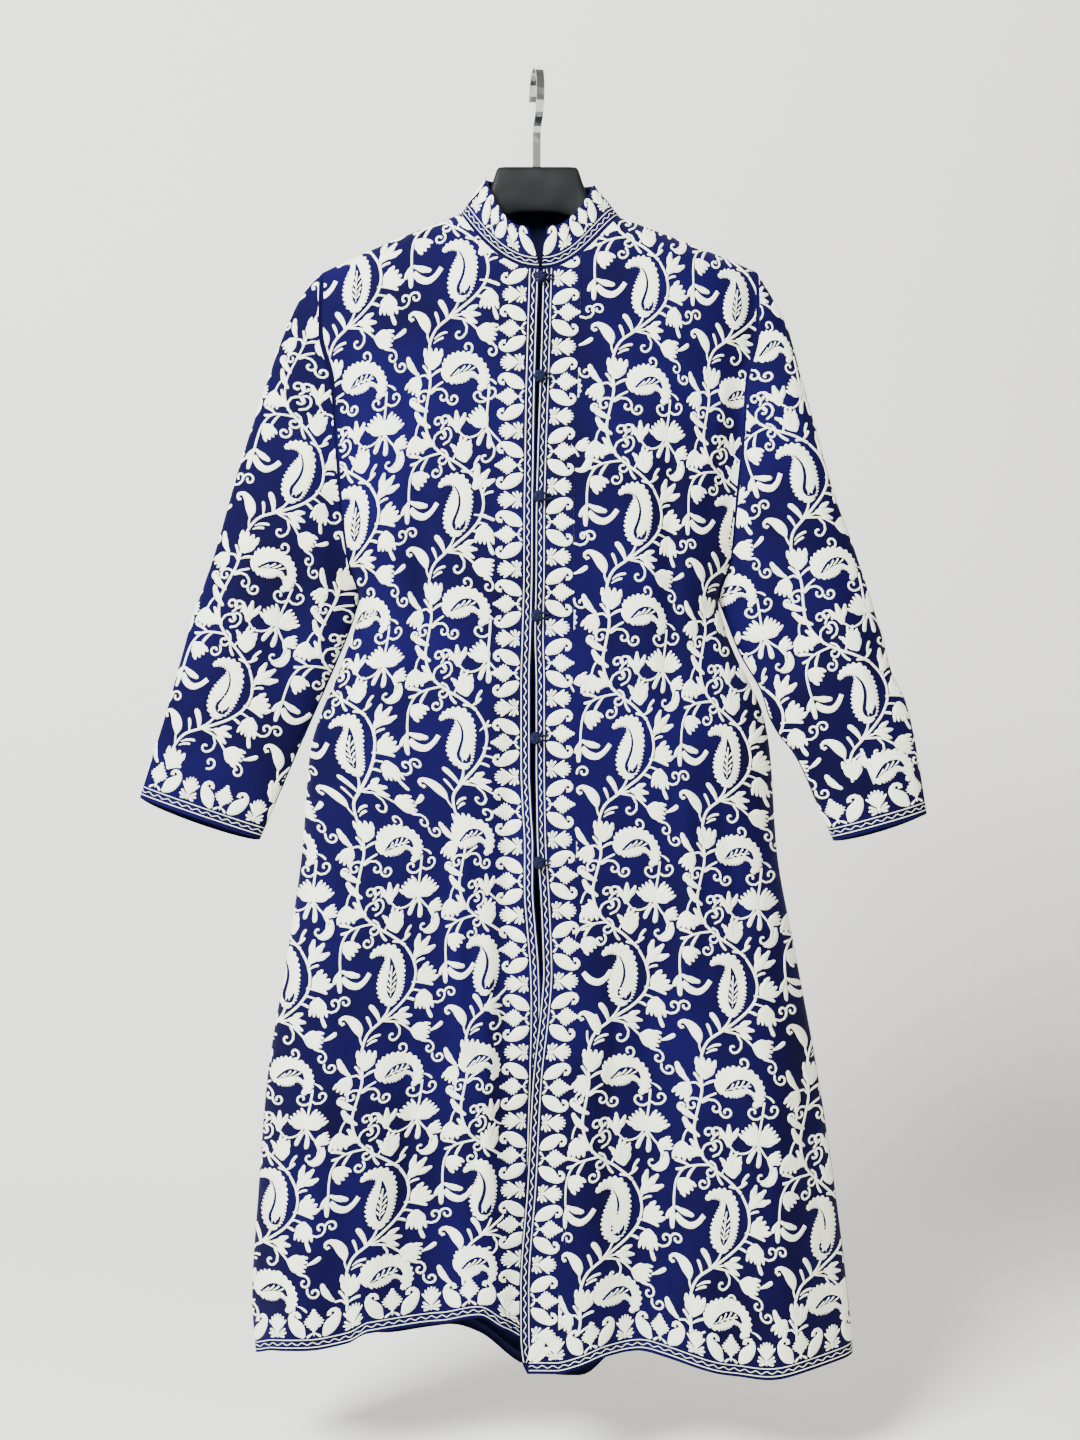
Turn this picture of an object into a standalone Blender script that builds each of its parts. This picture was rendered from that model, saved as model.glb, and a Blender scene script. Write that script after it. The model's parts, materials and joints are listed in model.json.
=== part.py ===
"""A long embroidered kaftan coat on a broad-necked hanger, hung from the hanger's flat chrome hook.

The garment hangs as flat as on a wall: two fronts, a back, a back lining, two set-in sleeves each in
four quarters, a stand collar, six knot buttons and their six loops. Units are metres and +Z is up.
The origin is the inside top of the hook, the front faces -Y, and the wearer's right side is at -X.
Heights are given as drops: how far a place lies below the origin.
"""

import math
from collections import namedtuple

import bmesh
import bpy
import numpy as np

# Cloth and seams
CLOTH = 0.0016
LINING = 0.0010
COLLAR_CLOTH = 0.0020
SEAM_GAP = 0.0003
CENTRE_X = 0.0035

# Body: neck, shoulders and armholes
NECK_HALF_WIDTH = 0.081
FRONT_NECK_DROP = 0.212
BACK_NECK_DROP = 0.146
NECK_FRONT_DEPTH = 0.040
NECK_BACK_DEPTH = 0.024
SHOULDER_HALF_WIDTH = 0.222
SHOULDER_TIP_DROP = 0.2075
SHOULDER_ROUND = 0.045
SHOULDER_CURVE = 0.06
SIDE_FULLNESS = 4.5
UNDERARM_DROP = 0.545
ARMHOLE_HALF_DEPTH = 0.026
ARMHOLE_SHARPNESS = 6
LINING_GAP = 0.0006
LINING_SHORT = 0.012
LINING_TOP_SHORT = 0.006

# Collar
COLLAR_TOP_HALF_WIDTH = 0.0560
COLLAR_FRONT_DROP = 0.1695
COLLAR_TOP_FRONT_DEPTH = 0.034
COLLAR_TOP_BACK_DEPTH = 0.016
COLLAR_TOP_CURVE = 1.8
COLLAR_END_RIGHT = -0.0115
COLLAR_END_LEFT = 0.0060
COLLAR_BASE_GAP = 0.0007

# Buttons and loops
BUTTON_RADIUS = 0.0056
BUTTON_SIDES = 10
BUTTON_RINGS = 7
LOOP_RADIUS = 0.0010
LOOP_BEND = 0.0054
LOOP_MOUTH = 40.0
LOOP_FOOT_X = 0.006
# Each leg of a loop from its sewn end to the bend: how far out it lies and how far from the middle
LOOP_LEG = ((0.012, 0.0018), (0.008, 0.0024))

# Hanger and hook
HANGER_X = 0.001
HANGER_CORNERS = 10
HANGER_ROUNDNESS = 0.8
PLATE_TOP_DROP = 0.0996
HOOK_BAND_WIDTH = 0.008
HOOK_BAND_THICKNESS = 0.002
HOOK_INNER_RADIUS = 0.028
HOOK_TIP_ANGLE = 8.0
HOOK_JOIN_ANGLE = 248.0
HOOK_TURN = 8.0

Neck = namedtuple("Neck", "point_drop curve collar_top_drop")
NECKS = {
    # Each side's neck point, how sharply the neckline dips from it, and the top of the collar's side
    "right": Neck(0.148, 1.95, 0.112),
    "left": Neck(0.152, 2.60, 0.118),
}

# Grid sizes
NECK_COLUMNS = 6
SHOULDER_COLUMNS = 10
ARMHOLE_ROWS = 10
SKIRT_ROWS = 10
SLEEVE_RINGS = 12
ELBOW_RING = 6
COLLAR_ROWS = 3

Side = namedtuple("Side", "drop right left")
SIDES = (
    # Half width of the body at its armhole and side seams, on the wearer's right and left
    Side(0.2075, 0.222, 0.222),
    Side(0.271, 0.222, 0.221),
    Side(0.322, 0.210, 0.210),
    Side(0.382, 0.206, 0.206),
    Side(0.444, 0.202, 0.200),
    Side(0.501, 0.196, 0.195),
    Side(0.545, 0.185, 0.183),
    Side(0.570, 0.189, 0.1885),
    Side(0.600, 0.200, 0.200),
    Side(0.625, 0.209, 0.2125),
    Side(0.660, 0.2245, 0.2285),
    Side(0.700, 0.236, 0.2360),
    Side(0.800, 0.244, 0.243),
    Side(0.905, 0.259, 0.262),
    Side(1.036, 0.280, 0.286),
    Side(1.150, 0.289, 0.303),
    Side(1.262, 0.2955, 0.3165),
    Side(1.313, 0.292, 0.321),
)

Depth = namedtuple("Depth", "drop front back")
DEPTHS = (
    # How far the cloth stands before and behind the seams' plane
    Depth(0.148, 0.026, 0.026),
    Depth(0.212, 0.040, 0.034),
    Depth(0.300, 0.048, 0.038),
    Depth(0.420, 0.054, 0.038),
    Depth(0.600, 0.056, 0.038),
    Depth(0.900, 0.058, 0.038),
    Depth(1.313, 0.060, 0.040),
)

Edge = namedtuple("Edge", "drop right left")
FRONT_EDGES = (
    # The two edges of the front opening: they wander to the right, part, and overlap near the hem
    Edge(0.212, -0.0006, 0.0020),
    Edge(0.306, -0.0034, -0.0006),
    Edge(0.346, -0.0044, -0.0020),
    Edge(0.413, -0.0053, -0.0042),
    Edge(0.462, -0.0061, -0.0053),
    Edge(0.516, -0.0063, -0.0055),
    Edge(0.583, -0.0079, -0.0066),
    Edge(0.630, -0.0092, -0.0054),
    Edge(0.712, -0.0092, -0.0054),
    Edge(0.752, -0.0078, -0.0049),
    Edge(0.793, -0.0056, -0.0040),
    Edge(0.835, -0.0058, -0.0012),
    Edge(0.873, -0.0032, 0.0006),
    Edge(0.919, 0.0002, 0.0020),
    Edge(0.957, 0.0010, -0.0007),
    Edge(1.026, -0.0005, -0.0083),
    Edge(1.128, -0.0030, -0.0137),
    Edge(1.235, -0.0030, -0.0208),
    Edge(1.281, -0.0030, -0.0206),
    Edge(1.304, -0.0030, -0.0185),
    Edge(1.318, -0.0030, -0.0125),
)

Button = namedtuple("Button", "drop x")
BUTTONS = (
    # From the neck down
    Button(0.222, 0.0007),
    Button(0.323, 0.0001),
    Button(0.444, -0.0003),
    Button(0.563, -0.0029),
    Button(0.685, -0.0039),
    Button(0.809, -0.0012),
)

Fold = namedtuple("Fold", "panel x_top x_hem start full width out")
FOLDS = (
    # A long ridge (out > 0) or trough (out < 0): where it lies at the waist and at the hem, the drop
    # where it starts and the drop where it is full, its half width, and how far it stands out
    Fold("front_right", -0.190, -0.238, 0.70, 1.20, 0.036, 0.016),
    Fold("front_right", -0.100, -0.110, 0.80, 1.25, 0.042, -0.018),
    Fold("front_right", -0.150, -0.175, 0.85, 1.20, 0.020, 0.006),
    Fold("front_right", -0.024, -0.052, 0.50, 0.80, 0.011, -0.007),
    Fold("front_left", 0.050, 0.040, 0.85, 1.25, 0.030, 0.007),
    Fold("front_left", 0.112, 0.100, 0.66, 1.20, 0.036, -0.017),
    Fold("front_left", 0.165, 0.170, 0.90, 1.25, 0.022, 0.007),
    Fold("front_left", 0.195, 0.244, 0.72, 1.20, 0.036, 0.016),
    Fold("back", 0.030, 0.036, 0.75, 1.25, 0.046, -0.046),
    Fold("back", -0.060, -0.075, 0.70, 1.20, 0.034, 0.014),
    Fold("back", 0.105, 0.125, 0.70, 1.20, 0.034, 0.013),
    Fold("back", -0.130, -0.160, 0.80, 1.20, 0.030, -0.016),
    Fold("back", 0.150, 0.195, 0.80, 1.20, 0.030, -0.016),
    Fold("back", -0.180, -0.230, 0.75, 1.20, 0.028, 0.012),
    Fold("back", 0.195, 0.258, 0.75, 1.20, 0.028, 0.012),
)
FOLD_TOP_DROP = 0.60
FOLD_SIDE_FADE = 0.12

Dart = namedtuple("Dart", "panel x start end width deep")
DARTS = (
    Dart("front_left", 0.130, 0.355, 0.690, 0.012, 0.006),
    Dart("front_right", -0.118, 0.370, 0.680, 0.012, 0.005),
)

# The right front's edge strip lies further in, under the left front's edge
STEP_X = -0.052
STEP_WIDTH = 0.026
STEP_START = 0.80
STEP_FULL = 1.06
STEP_DEEP = 0.018

Hem = namedtuple("Hem", "x drop")
HEMS = {
    # Drop of each panel's hem across the garment
    "front_right": (
        Hem(-0.292, 1.313),
        Hem(-0.268, 1.301),
        Hem(-0.240, 1.2945),
        Hem(-0.215, 1.2920),
        Hem(-0.190, 1.287),
        Hem(-0.170, 1.277),
        Hem(-0.140, 1.276),
        Hem(-0.100, 1.273),
        Hem(-0.062, 1.264),
        Hem(-0.036, 1.279),
        Hem(-0.003, 1.299),
    ),
    "front_left": (
        Hem(-0.011, 1.3175),
        Hem(0.016, 1.3165),
        Hem(0.036, 1.311),
        Hem(0.067, 1.302),
        Hem(0.100, 1.300),
        Hem(0.125, 1.304),
        Hem(0.160, 1.312),
        Hem(0.190, 1.319),
        Hem(0.220, 1.322),
        Hem(0.262, 1.317),
        Hem(0.321, 1.313),
    ),
    "back": (
        Hem(-0.292, 1.313),
        Hem(-0.190, 1.303),
        Hem(-0.100, 1.302),
        Hem(-0.062, 1.312),
        Hem(-0.015, 1.337),
        Hem(0.041, 1.339),
        Hem(0.067, 1.324),
        Hem(0.100, 1.310),
        Hem(0.160, 1.304),
        Hem(0.262, 1.309),
        Hem(0.321, 1.313),
    ),
}

Arm = namedtuple("Arm", "drop x")
SLEEVE_OUTLINES = {
    # Each sleeve's outer and inner outline, from the armhole to the cuff
    "right": {
        "outer": (
            Arm(0.2075, 0.2225),
            Arm(0.218, 0.2330),
            Arm(0.232, 0.2440),
            Arm(0.269, 0.2610),
            Arm(0.337, 0.284),
            Arm(0.410, 0.307),
            Arm(0.499, 0.332),
            Arm(0.564, 0.354),
            Arm(0.657, 0.380),
            Arm(0.746, 0.408),
        ),
        "inner": (
            Arm(0.545, 0.1855),
            Arm(0.570, 0.1930),
            Arm(0.594, 0.2020),
            Arm(0.635, 0.2190),
            Arm(0.683, 0.2400),
            Arm(0.734, 0.2620),
            Arm(0.788, 0.2855),
        ),
    },
    "left": {
        "outer": (
            Arm(0.2075, 0.2225),
            Arm(0.218, 0.2285),
            Arm(0.232, 0.2370),
            Arm(0.269, 0.2545),
            Arm(0.319, 0.2675),
            Arm(0.370, 0.2815),
            Arm(0.431, 0.2980),
            Arm(0.503, 0.3235),
            Arm(0.585, 0.349),
            Arm(0.620, 0.3585),
            Arm(0.6465, 0.3715),
            Arm(0.680, 0.380),
            Arm(0.762, 0.394),
        ),
        "inner": (
            Arm(0.545, 0.1835),
            Arm(0.566, 0.1910),
            Arm(0.600, 0.2045),
            Arm(0.640, 0.2265),
            Arm(0.662, 0.2330),
            Arm(0.679, 0.2415),
            Arm(0.705, 0.2610),
            Arm(0.750, 0.2815),
            Arm(0.789, 0.2990),
        ),
    },
}

Thick = namedtuple("Thick", "along right left forward")
SLEEVE_DEPTHS = (
    # Half depth of each sleeve along its length, and how far its middle hangs forward
    Thick(0.00, 0.026, 0.026, 0.000),
    Thick(0.15, 0.031, 0.031, 0.004),
    Thick(0.50, 0.025, 0.027, 0.012),
    Thick(0.85, 0.017, 0.024, 0.014),
    Thick(1.00, 0.014, 0.024, 0.012),
)
SLEEVE_BACK_LONGER = 0.008
SLEEVE_FLATNESS = 0.78
SLEEVE_BLEND = 0.35

Crease = namedtuple("Crease", "sleeve along around length width out")
SLEEVE_CREASES = (
    # Large soft bends of each sleeve: place along and around, half sizes, and height
    Crease("right", 0.40, 0.62, 0.16, 0.10, -0.006),
    Crease("right", 0.62, 0.34, 0.20, 0.10, 0.005),
    Crease("left", 0.38, 0.60, 0.16, 0.10, -0.006),
    Crease("left", 0.66, 0.36, 0.20, 0.10, 0.005),
    Crease("right", 0.45, 1.45, 0.22, 0.12, -0.005),
    Crease("left", 0.45, 1.45, 0.22, 0.12, -0.005),
)

Section = namedtuple("Section", "x top bottom half_depth")
HANGER_SECTIONS = (
    # Half of the hanger from its middle to one end: top and bottom drops and half thickness
    Section(0.000, 0.0996, 0.1455, 0.0055),
    Section(0.017, 0.0996, 0.1462, 0.0055),
    Section(0.032, 0.0996, 0.1500, 0.0055),
    Section(0.0400, 0.1004, 0.1560, 0.0055),
    Section(0.0470, 0.1180, 0.1640, 0.0060),
    Section(0.0555, 0.1375, 0.1720, 0.0065),
    Section(0.0680, 0.1570, 0.1805, 0.0075),
    Section(0.0850, 0.1648, 0.1885, 0.0085),
    Section(0.1150, 0.1745, 0.2000, 0.0100),
    Section(0.1500, 0.1855, 0.2110, 0.0110),
    Section(0.1800, 0.1965, 0.2200, 0.0095),
    Section(0.2040, 0.2060, 0.2250, 0.0060),
)

COLOURS = {
    # Colour, roughness and metallic value of each finish
    "embroidered cloth": ((0.030, 0.045, 0.210), 0.80, 0.0),
    "plain navy lining": ((0.010, 0.012, 0.060), 0.60, 0.0),
    "navy cord": ((0.012, 0.016, 0.085), 0.70, 0.0),
    "black plastic": ((0.012, 0.012, 0.014), 0.45, 0.0),
    "chrome": ((0.780, 0.790, 0.800), 0.12, 1.0),
}


def clear_scene():
    """Removes every object that the file opens with."""
    for item in list(bpy.data.objects):
        bpy.data.objects.remove(item, do_unlink=True)


def material(name):
    """A plain Principled material with the finish's colour, roughness and metallic value."""
    found = bpy.data.materials.get(name)
    if found:
        return found
    colour, roughness, metallic = COLOURS[name]
    made = bpy.data.materials.new(name)
    made.use_nodes = True
    shader = made.node_tree.nodes["Principled BSDF"]
    shader.inputs["Base Color"].default_value = (*colour, 1.0)
    shader.inputs["Roughness"].default_value = roughness
    shader.inputs["Metallic"].default_value = metallic
    return made


def add_object(name, points, faces, finish):
    """One named object from points and faces, its faces turned outwards and shaded smooth."""
    mesh = bpy.data.meshes.new(name)
    mesh.from_pydata([tuple(map(float, point)) for point in points], [], faces)
    shape = bmesh.new()
    shape.from_mesh(mesh)
    bmesh.ops.recalc_face_normals(shape, faces=shape.faces)
    shape.to_mesh(mesh)
    shape.free()
    mesh.shade_smooth()
    mesh.materials.append(material(finish))
    made = bpy.data.objects.new(name, mesh)
    bpy.context.scene.collection.objects.link(made)
    return made


def table_column(table, name):
    """One named column of a table of rows, as an array."""
    return np.array([getattr(row, name) for row in table])


def smooth_curve(table, key, name, at):
    """A smooth curve through one column of a table, read at the given keys.

    Between two rows it is a cubic whose slopes at the rows are the harmonic mean of the slopes of the
    straight runs on each side, and zero at a turning point, so that the curve never overshoots.
    """
    keys = table_column(table, key)
    values = table_column(table, name)
    at = np.clip(np.asarray(at, float), keys[0], keys[-1])
    runs = np.diff(keys)
    slopes = np.diff(values) / runs
    before, after = slopes[:-1], slopes[1:]
    same_way = before * after > 0
    total = np.where(same_way, before + after, 1.0)
    inner = np.where(same_way, 2 * before * after / total, 0.0)
    tangents = np.concatenate([slopes[:1], inner, slopes[-1:]])
    i = np.clip(np.searchsorted(keys, at) - 1, 0, len(runs) - 1)
    t = (at - keys[i]) / runs[i]
    start = values[i] * (1 + 2 * t) * (1 - t) ** 2 + tangents[i] * runs[i] * t * (1 - t) ** 2
    end = values[i + 1] * t * t * (3 - 2 * t) - tangents[i + 1] * runs[i] * t * t * (1 - t)
    return start + end


def ease(t):
    """Rises smoothly from 0 to 1 as t goes from 0 to 1."""
    t = np.clip(t, 0.0, 1.0)
    return t * t * (3 - 2 * t)


def bell(t):
    """A soft hump of height 1 at t = 0."""
    return np.exp(-t * t)


# The body


def column_places():
    """The panel's columns as shares of its half width: those under the neck, then the shoulder's."""
    angles = np.linspace(math.pi / 2, 0, NECK_COLUMNS + 1)
    neck = NECK_HALF_WIDTH / SHOULDER_HALF_WIDTH
    under_neck = np.cos(angles) * neck
    shoulder = neck + (1 - neck) * np.linspace(0, 1, SHOULDER_COLUMNS + 1)[1:]
    return np.concatenate([under_neck, shoulder])


def neck_angle(share):
    """The angle round the neck, from 0 at the shoulder to a right angle at the middle."""
    neck = NECK_HALF_WIDTH / SHOULDER_HALF_WIDTH
    return np.arccos(np.clip(share / neck, 0, 1))


def neckline(sine, side, is_front):
    """Drop of the neckline where the angle round the neck has this sine, on one side of the garment."""
    neck = NECKS[side]
    if is_front:
        return neck.point_drop + (FRONT_NECK_DROP - neck.point_drop) * sine**neck.curve
    return neck.point_drop + (BACK_NECK_DROP - neck.point_drop) * sine


def top_edge(share, side, is_front):
    """Drop and depth of a panel's top edge: the neckline, then the sloping shoulder seam."""
    sine = np.sin(neck_angle(share))
    start = NECK_HALF_WIDTH / SHOULDER_HALF_WIDTH
    depth = (NECK_FRONT_DEPTH if is_front else NECK_BACK_DEPTH) * sine
    run = np.clip((share - start) / (1 - start), 0, 1)
    fall = SHOULDER_TIP_DROP - NECKS[side].point_drop
    shoulder_drop = NECKS[side].point_drop + fall * ((1 - SHOULDER_CURVE) * run + SHOULDER_CURVE * run**3)
    in_neck = share < start
    drop = np.where(in_neck, neckline(sine, side, is_front), shoulder_drop)
    return drop, np.where(in_neck, depth, 0.0)


def armhole_depth(drop):
    """Half depth of the armhole at a drop: half an ellipse from the shoulder tip to the underarm."""
    middle = (SHOULDER_TIP_DROP + UNDERARM_DROP) / 2
    half = (UNDERARM_DROP - SHOULDER_TIP_DROP) / 2
    return ARMHOLE_HALF_DEPTH * np.sqrt(np.clip(1 - ((drop - middle) / half) ** 2, 0, None))


def fold_height(panel, x, drop):
    """How far the panel's folds and darts move the cloth out at a place."""
    total = np.zeros(np.broadcast(x, drop).shape)
    hem = SIDES[-1].drop
    for fold in FOLDS:
        if fold.panel == panel:
            down = np.clip((drop - FOLD_TOP_DROP) / (hem - FOLD_TOP_DROP), 0, 1)
            middle = fold.x_top + (fold.x_hem - fold.x_top) * down
            rise = ease((drop - fold.start) / (fold.full - fold.start))
            total += fold.out * rise * bell((x - middle) / fold.width)
    for dart in DARTS:
        if dart.panel == panel:
            along = np.clip((drop - dart.start) / (dart.end - dart.start), 0, 1)
            total -= dart.deep * np.sin(math.pi * along) * bell((x - dart.x) / dart.width)
    if panel == "front_right":
        inwards = ease((x - STEP_X) / STEP_WIDTH) * ease((drop - STEP_START) / (STEP_FULL - STEP_START))
        total -= STEP_DEEP * inwards
    return total


def panel_x(panel, share, drop):
    """Across the garment at a drop: a straight run from the front edge or middle to the side seam."""
    side = "left" if panel == "front_left" else "right"
    if panel == "back":
        right = smooth_curve(SIDES, "drop", "right", drop)
        left = smooth_curve(SIDES, "drop", "left", drop)
        return np.where(share < 0, right, left) * share
    edge = smooth_curve(FRONT_EDGES, "drop", side, drop)
    sign = 1.0 if side == "left" else -1.0
    return edge * (1 - share) + sign * smooth_curve(SIDES, "drop", side, drop) * share


def panel_depth(panel, share, x, drop, top, top_depth):
    """How far the cloth stands off the seams' plane.

    The body's full depth rounds over into the top edge within the shoulder's roundness, meets the
    armhole's own depth in a soft corner (a root of summed cubes), and carries the folds.
    """
    is_front = panel != "back"
    near_side = np.abs(share)
    if is_front:
        near_side = np.abs(x) / smooth_curve(SIDES, "drop", panel.removeprefix("front_"), drop)
    full = smooth_curve(DEPTHS, "drop", "front" if is_front else "back", drop)
    arm = armhole_depth(drop)
    bulge = np.sqrt(np.clip(1 - near_side**SIDE_FULLNESS, 0, 1))
    folds = fold_height(panel, x, drop) * ease((1 - near_side) / FOLD_SIDE_FADE)
    at_arm = arm * near_side**ARMHOLE_SHARPNESS
    t = np.clip((drop - top) / SHOULDER_ROUND, 0, 1)
    over = 1 - np.sqrt(1 - (1 - t) ** 2)
    body = full * bulge * (1 - over)
    return (body**3 + at_arm**3) ** (1 / 3) + folds + top_depth * over


def panel_points(panel):
    """Grid of the panel's outer face: a row for each drop, a column for each share of the width.

    Above the underarm the rows are spaced as the cosine of an even angle, so that at the side they fall
    on the armhole's ellipse; below it they are even.
    """
    shares = column_places()
    if panel == "back":
        shares = np.concatenate([-shares[:0:-1], shares])
    is_front = panel != "back"
    if panel == "back":
        ends = [top_edge(np.abs(shares), side, is_front) for side in ("right", "left")]
        top, top_depth = (np.where(shares < 0, right, left) for right, left in zip(*ends))
    else:
        top, top_depth = top_edge(shares, panel.removeprefix("front_"), is_front)
    hem_x = panel_x(panel, shares, np.full(len(shares), SIDES[-1].drop))
    hem = smooth_curve(HEMS[panel], "x", "drop", hem_x)
    upper = (1 - np.cos(np.linspace(0, math.pi, ARMHOLE_ROWS + 1))) / 2
    lower = np.linspace(0, 1, SKIRT_ROWS + 1)[1:]
    drops = np.concatenate(
        [
            top + (UNDERARM_DROP - top) * upper[:, None],
            UNDERARM_DROP + (hem - UNDERARM_DROP) * lower[:, None],
        ]
    )
    share_grid = np.broadcast_to(shares, drops.shape)
    x = panel_x(panel, share_grid, drops)
    depth = panel_depth(panel, share_grid, x, drops, top, top_depth)
    at_seam = depth < SEAM_GAP / 2
    depth = np.where(at_seam, SEAM_GAP / 2, depth)
    y = -depth if is_front else depth
    return np.stack([x, y, -drops], axis=-1)


def grid_normals(points, outwards):
    """Unit normals of a grid of points from its row and column differences, turned outwards."""
    normals = np.cross(np.gradient(points, axis=0), np.gradient(points, axis=1))
    normals /= np.linalg.norm(normals, axis=-1, keepdims=True)
    turned = np.sign((normals * outwards).sum(axis=-1, keepdims=True))
    return normals * np.where(turned == 0, 1, turned)


def armhole_normals(is_front):
    """Normals round half of the armhole, from the shoulder tip to the underarm, in its own plane."""
    angles = np.linspace(0, math.pi, ARMHOLE_ROWS + 1)
    half_height = (UNDERARM_DROP - SHOULDER_TIP_DROP) / 2
    y = np.sin(angles) / ARMHOLE_HALF_DEPTH
    z = np.cos(angles) / half_height
    normals = np.stack([np.zeros(len(angles)), -y if is_front else y, z], axis=-1)
    return normals / np.linalg.norm(normals, axis=-1, keepdims=True)


def panel_normals(panel, points):
    """The panel's normals. Along the shoulder, side and armhole seams both neighbours share them."""
    is_front = panel != "back"
    normals = grid_normals(points, np.array([0.0, -1.0 if is_front else 1.0, 0.0]))
    slope = (SHOULDER_TIP_DROP - NECKS["right"].point_drop) / (SHOULDER_HALF_WIDTH - NECK_HALF_WIDTH)
    upright = 1 / math.hypot(1, slope)
    ends = []
    if panel != "front_left":
        ends.append(-1.0)
    if panel != "front_right":
        ends.append(1.0)
    columns = points.shape[1]
    for end in ends:
        at_right = panel == "back" and end < 0
        side = 0 if at_right else columns - 1
        first = 0 if at_right else columns - 1 - SHOULDER_COLUMNS
        for column in range(first, first + SHOULDER_COLUMNS + 1):
            normals[0, column] = (end * slope * upright, 0.0, upright)
        normals[ARMHOLE_ROWS:, side] = (end, 0.0, 0.0)
        normals[1 : ARMHOLE_ROWS, side] = armhole_normals(is_front)[1:-1]
        normals[ARMHOLE_ROWS, side] = (end * math.sqrt(0.5), 0.0, -math.sqrt(0.5))
    return normals


def sheet_faces(rows, columns):
    """Triangles of a grid's outer and inner face, split along the same diagonal, and the rim's quads."""
    count = rows * columns
    faces = []
    for r in range(rows - 1):
        for c in range(columns - 1):
            a, b = r * columns + c, r * columns + c + 1
            d, e = a + columns, b + columns
            faces += [(a, b, e), (a, e, d)]
            faces += [(count + a, count + e, count + b), (count + a, count + d, count + e)]
    for r in (0, rows - 1):
        for c in range(columns - 1):
            a, b = r * columns + c, r * columns + c + 1
            faces.append((a, count + a, count + b, b))
    for c in (0, columns - 1):
        for r in range(rows - 1):
            a, d = r * columns + c, (r + 1) * columns + c
            faces.append((a, count + a, count + d, d))
    return faces


def add_wall(name, outer, inner, finish):
    """A closed cloth wall between two grids of points of the same size."""
    rows, columns = outer.shape[:2]
    points = np.concatenate([outer.reshape(-1, 3), inner.reshape(-1, 3)])
    points = points + np.array([CENTRE_X, 0.0, 0.0])
    return add_object(name, points, sheet_faces(rows, columns), finish)


def build_body():
    """The two fronts, the back and its lining. Returns each panel's grid and normals."""
    grids = {}
    for panel in ("front_right", "front_left", "back"):
        points = panel_points(panel)
        normals = panel_normals(panel, points)
        grids[panel] = (points, normals)
        sewn = points.copy()
        sides = {"front_right": [(-1, -1)], "front_left": [(-1, 1)], "back": [(0, -1), (-1, 1)]}[panel]
        for column, sign in sides:
            sewn[: ARMHOLE_ROWS + 1, column, 0] -= sign * SEAM_GAP / 2
        add_wall(panel, sewn, sewn - normals * CLOTH, "embroidered cloth")
        if panel == "back":
            add_lining(sewn, normals)
    return grids


def add_lining(points, normals):
    """The back's lining: the back's own points moved in, ended below the top edge and above the hem."""
    face = points - normals * (CLOTH + LINING_GAP)
    for end, near, short in ((0, 1, LINING_TOP_SHORT), (-1, -2, LINING_SHORT)):
        run = face[near] - face[end]
        face[end] += run * short / np.linalg.norm(run, axis=-1, keepdims=True)
    face[-1] -= normals[-1] * LINING_GAP
    add_wall("back_lining", face, face - normals * LINING, "plain navy lining")


# Sleeves


def sleeve_outline(side, edge, along):
    """A point of a sleeve's outer or inner outline, at a share of its drop."""
    table = SLEEVE_OUTLINES[side][edge]
    drop = table[0].drop + (table[-1].drop - table[0].drop) * along
    sign = -1.0 if side == "right" else 1.0
    return np.stack([sign * smooth_curve(table, "drop", "x", drop), np.zeros_like(drop), -drop], axis=-1)


def sleeve_points(side, ring):
    """Grid of a sleeve's outer face: rings fanned out from the armhole to the cuff.

    Each ring is a flattened ellipse between the outer and the inner outline. Near the armhole the rings
    blend into the armhole's own points, so that the seam closes.
    """
    along = np.linspace(0, 1, SLEEVE_RINGS + 1)[:, None]
    angles = np.linspace(0, 2 * math.pi, 2 * ARMHOLE_ROWS + 1)[:-1][None, :]
    outer = sleeve_outline(side, "outer", along[:, 0])[:, None, :]
    inner = sleeve_outline(side, "inner", along[:, 0])[:, None, :]
    half_depth = smooth_curve(SLEEVE_DEPTHS, "along", side, along)
    forward = smooth_curve(SLEEVE_DEPTHS, "along", "forward", along)
    swell = np.zeros(np.broadcast(along, angles).shape)
    for crease in SLEEVE_CREASES:
        if crease.sleeve == side:
            across = (angles / math.pi - crease.around) / crease.width
            swell += crease.out * bell((along - crease.along) / crease.length) * bell(across)
    lift = np.sin(angles)
    flat = np.sign(lift) * np.abs(lift) ** SLEEVE_FLATNESS
    points = (outer + inner) / 2 + (outer - inner) / 2 * np.cos(angles)[..., None]
    points[..., 1] -= half_depth * flat + forward + swell * lift
    points[..., 2] -= SLEEVE_BACK_LONGER * np.clip(-lift, 0, 1) * along**3
    return points + (ring - points[0]) * (1 - ease(along / SLEEVE_BLEND))[..., None]


def tube_normals(points):
    """Outward unit normals of a closed tube of rings."""
    wrapped = np.concatenate([points[:, -1:], points, points[:, :1]], axis=1)
    around = wrapped[:, 2:] - wrapped[:, :-2]
    down = np.gradient(points, axis=0)
    normals = np.cross(around, down)
    normals /= np.linalg.norm(normals, axis=-1, keepdims=True)
    outwards = points - points.mean(axis=1, keepdims=True)
    return normals * np.sign((normals * outwards).sum(axis=-1).mean())


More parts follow.
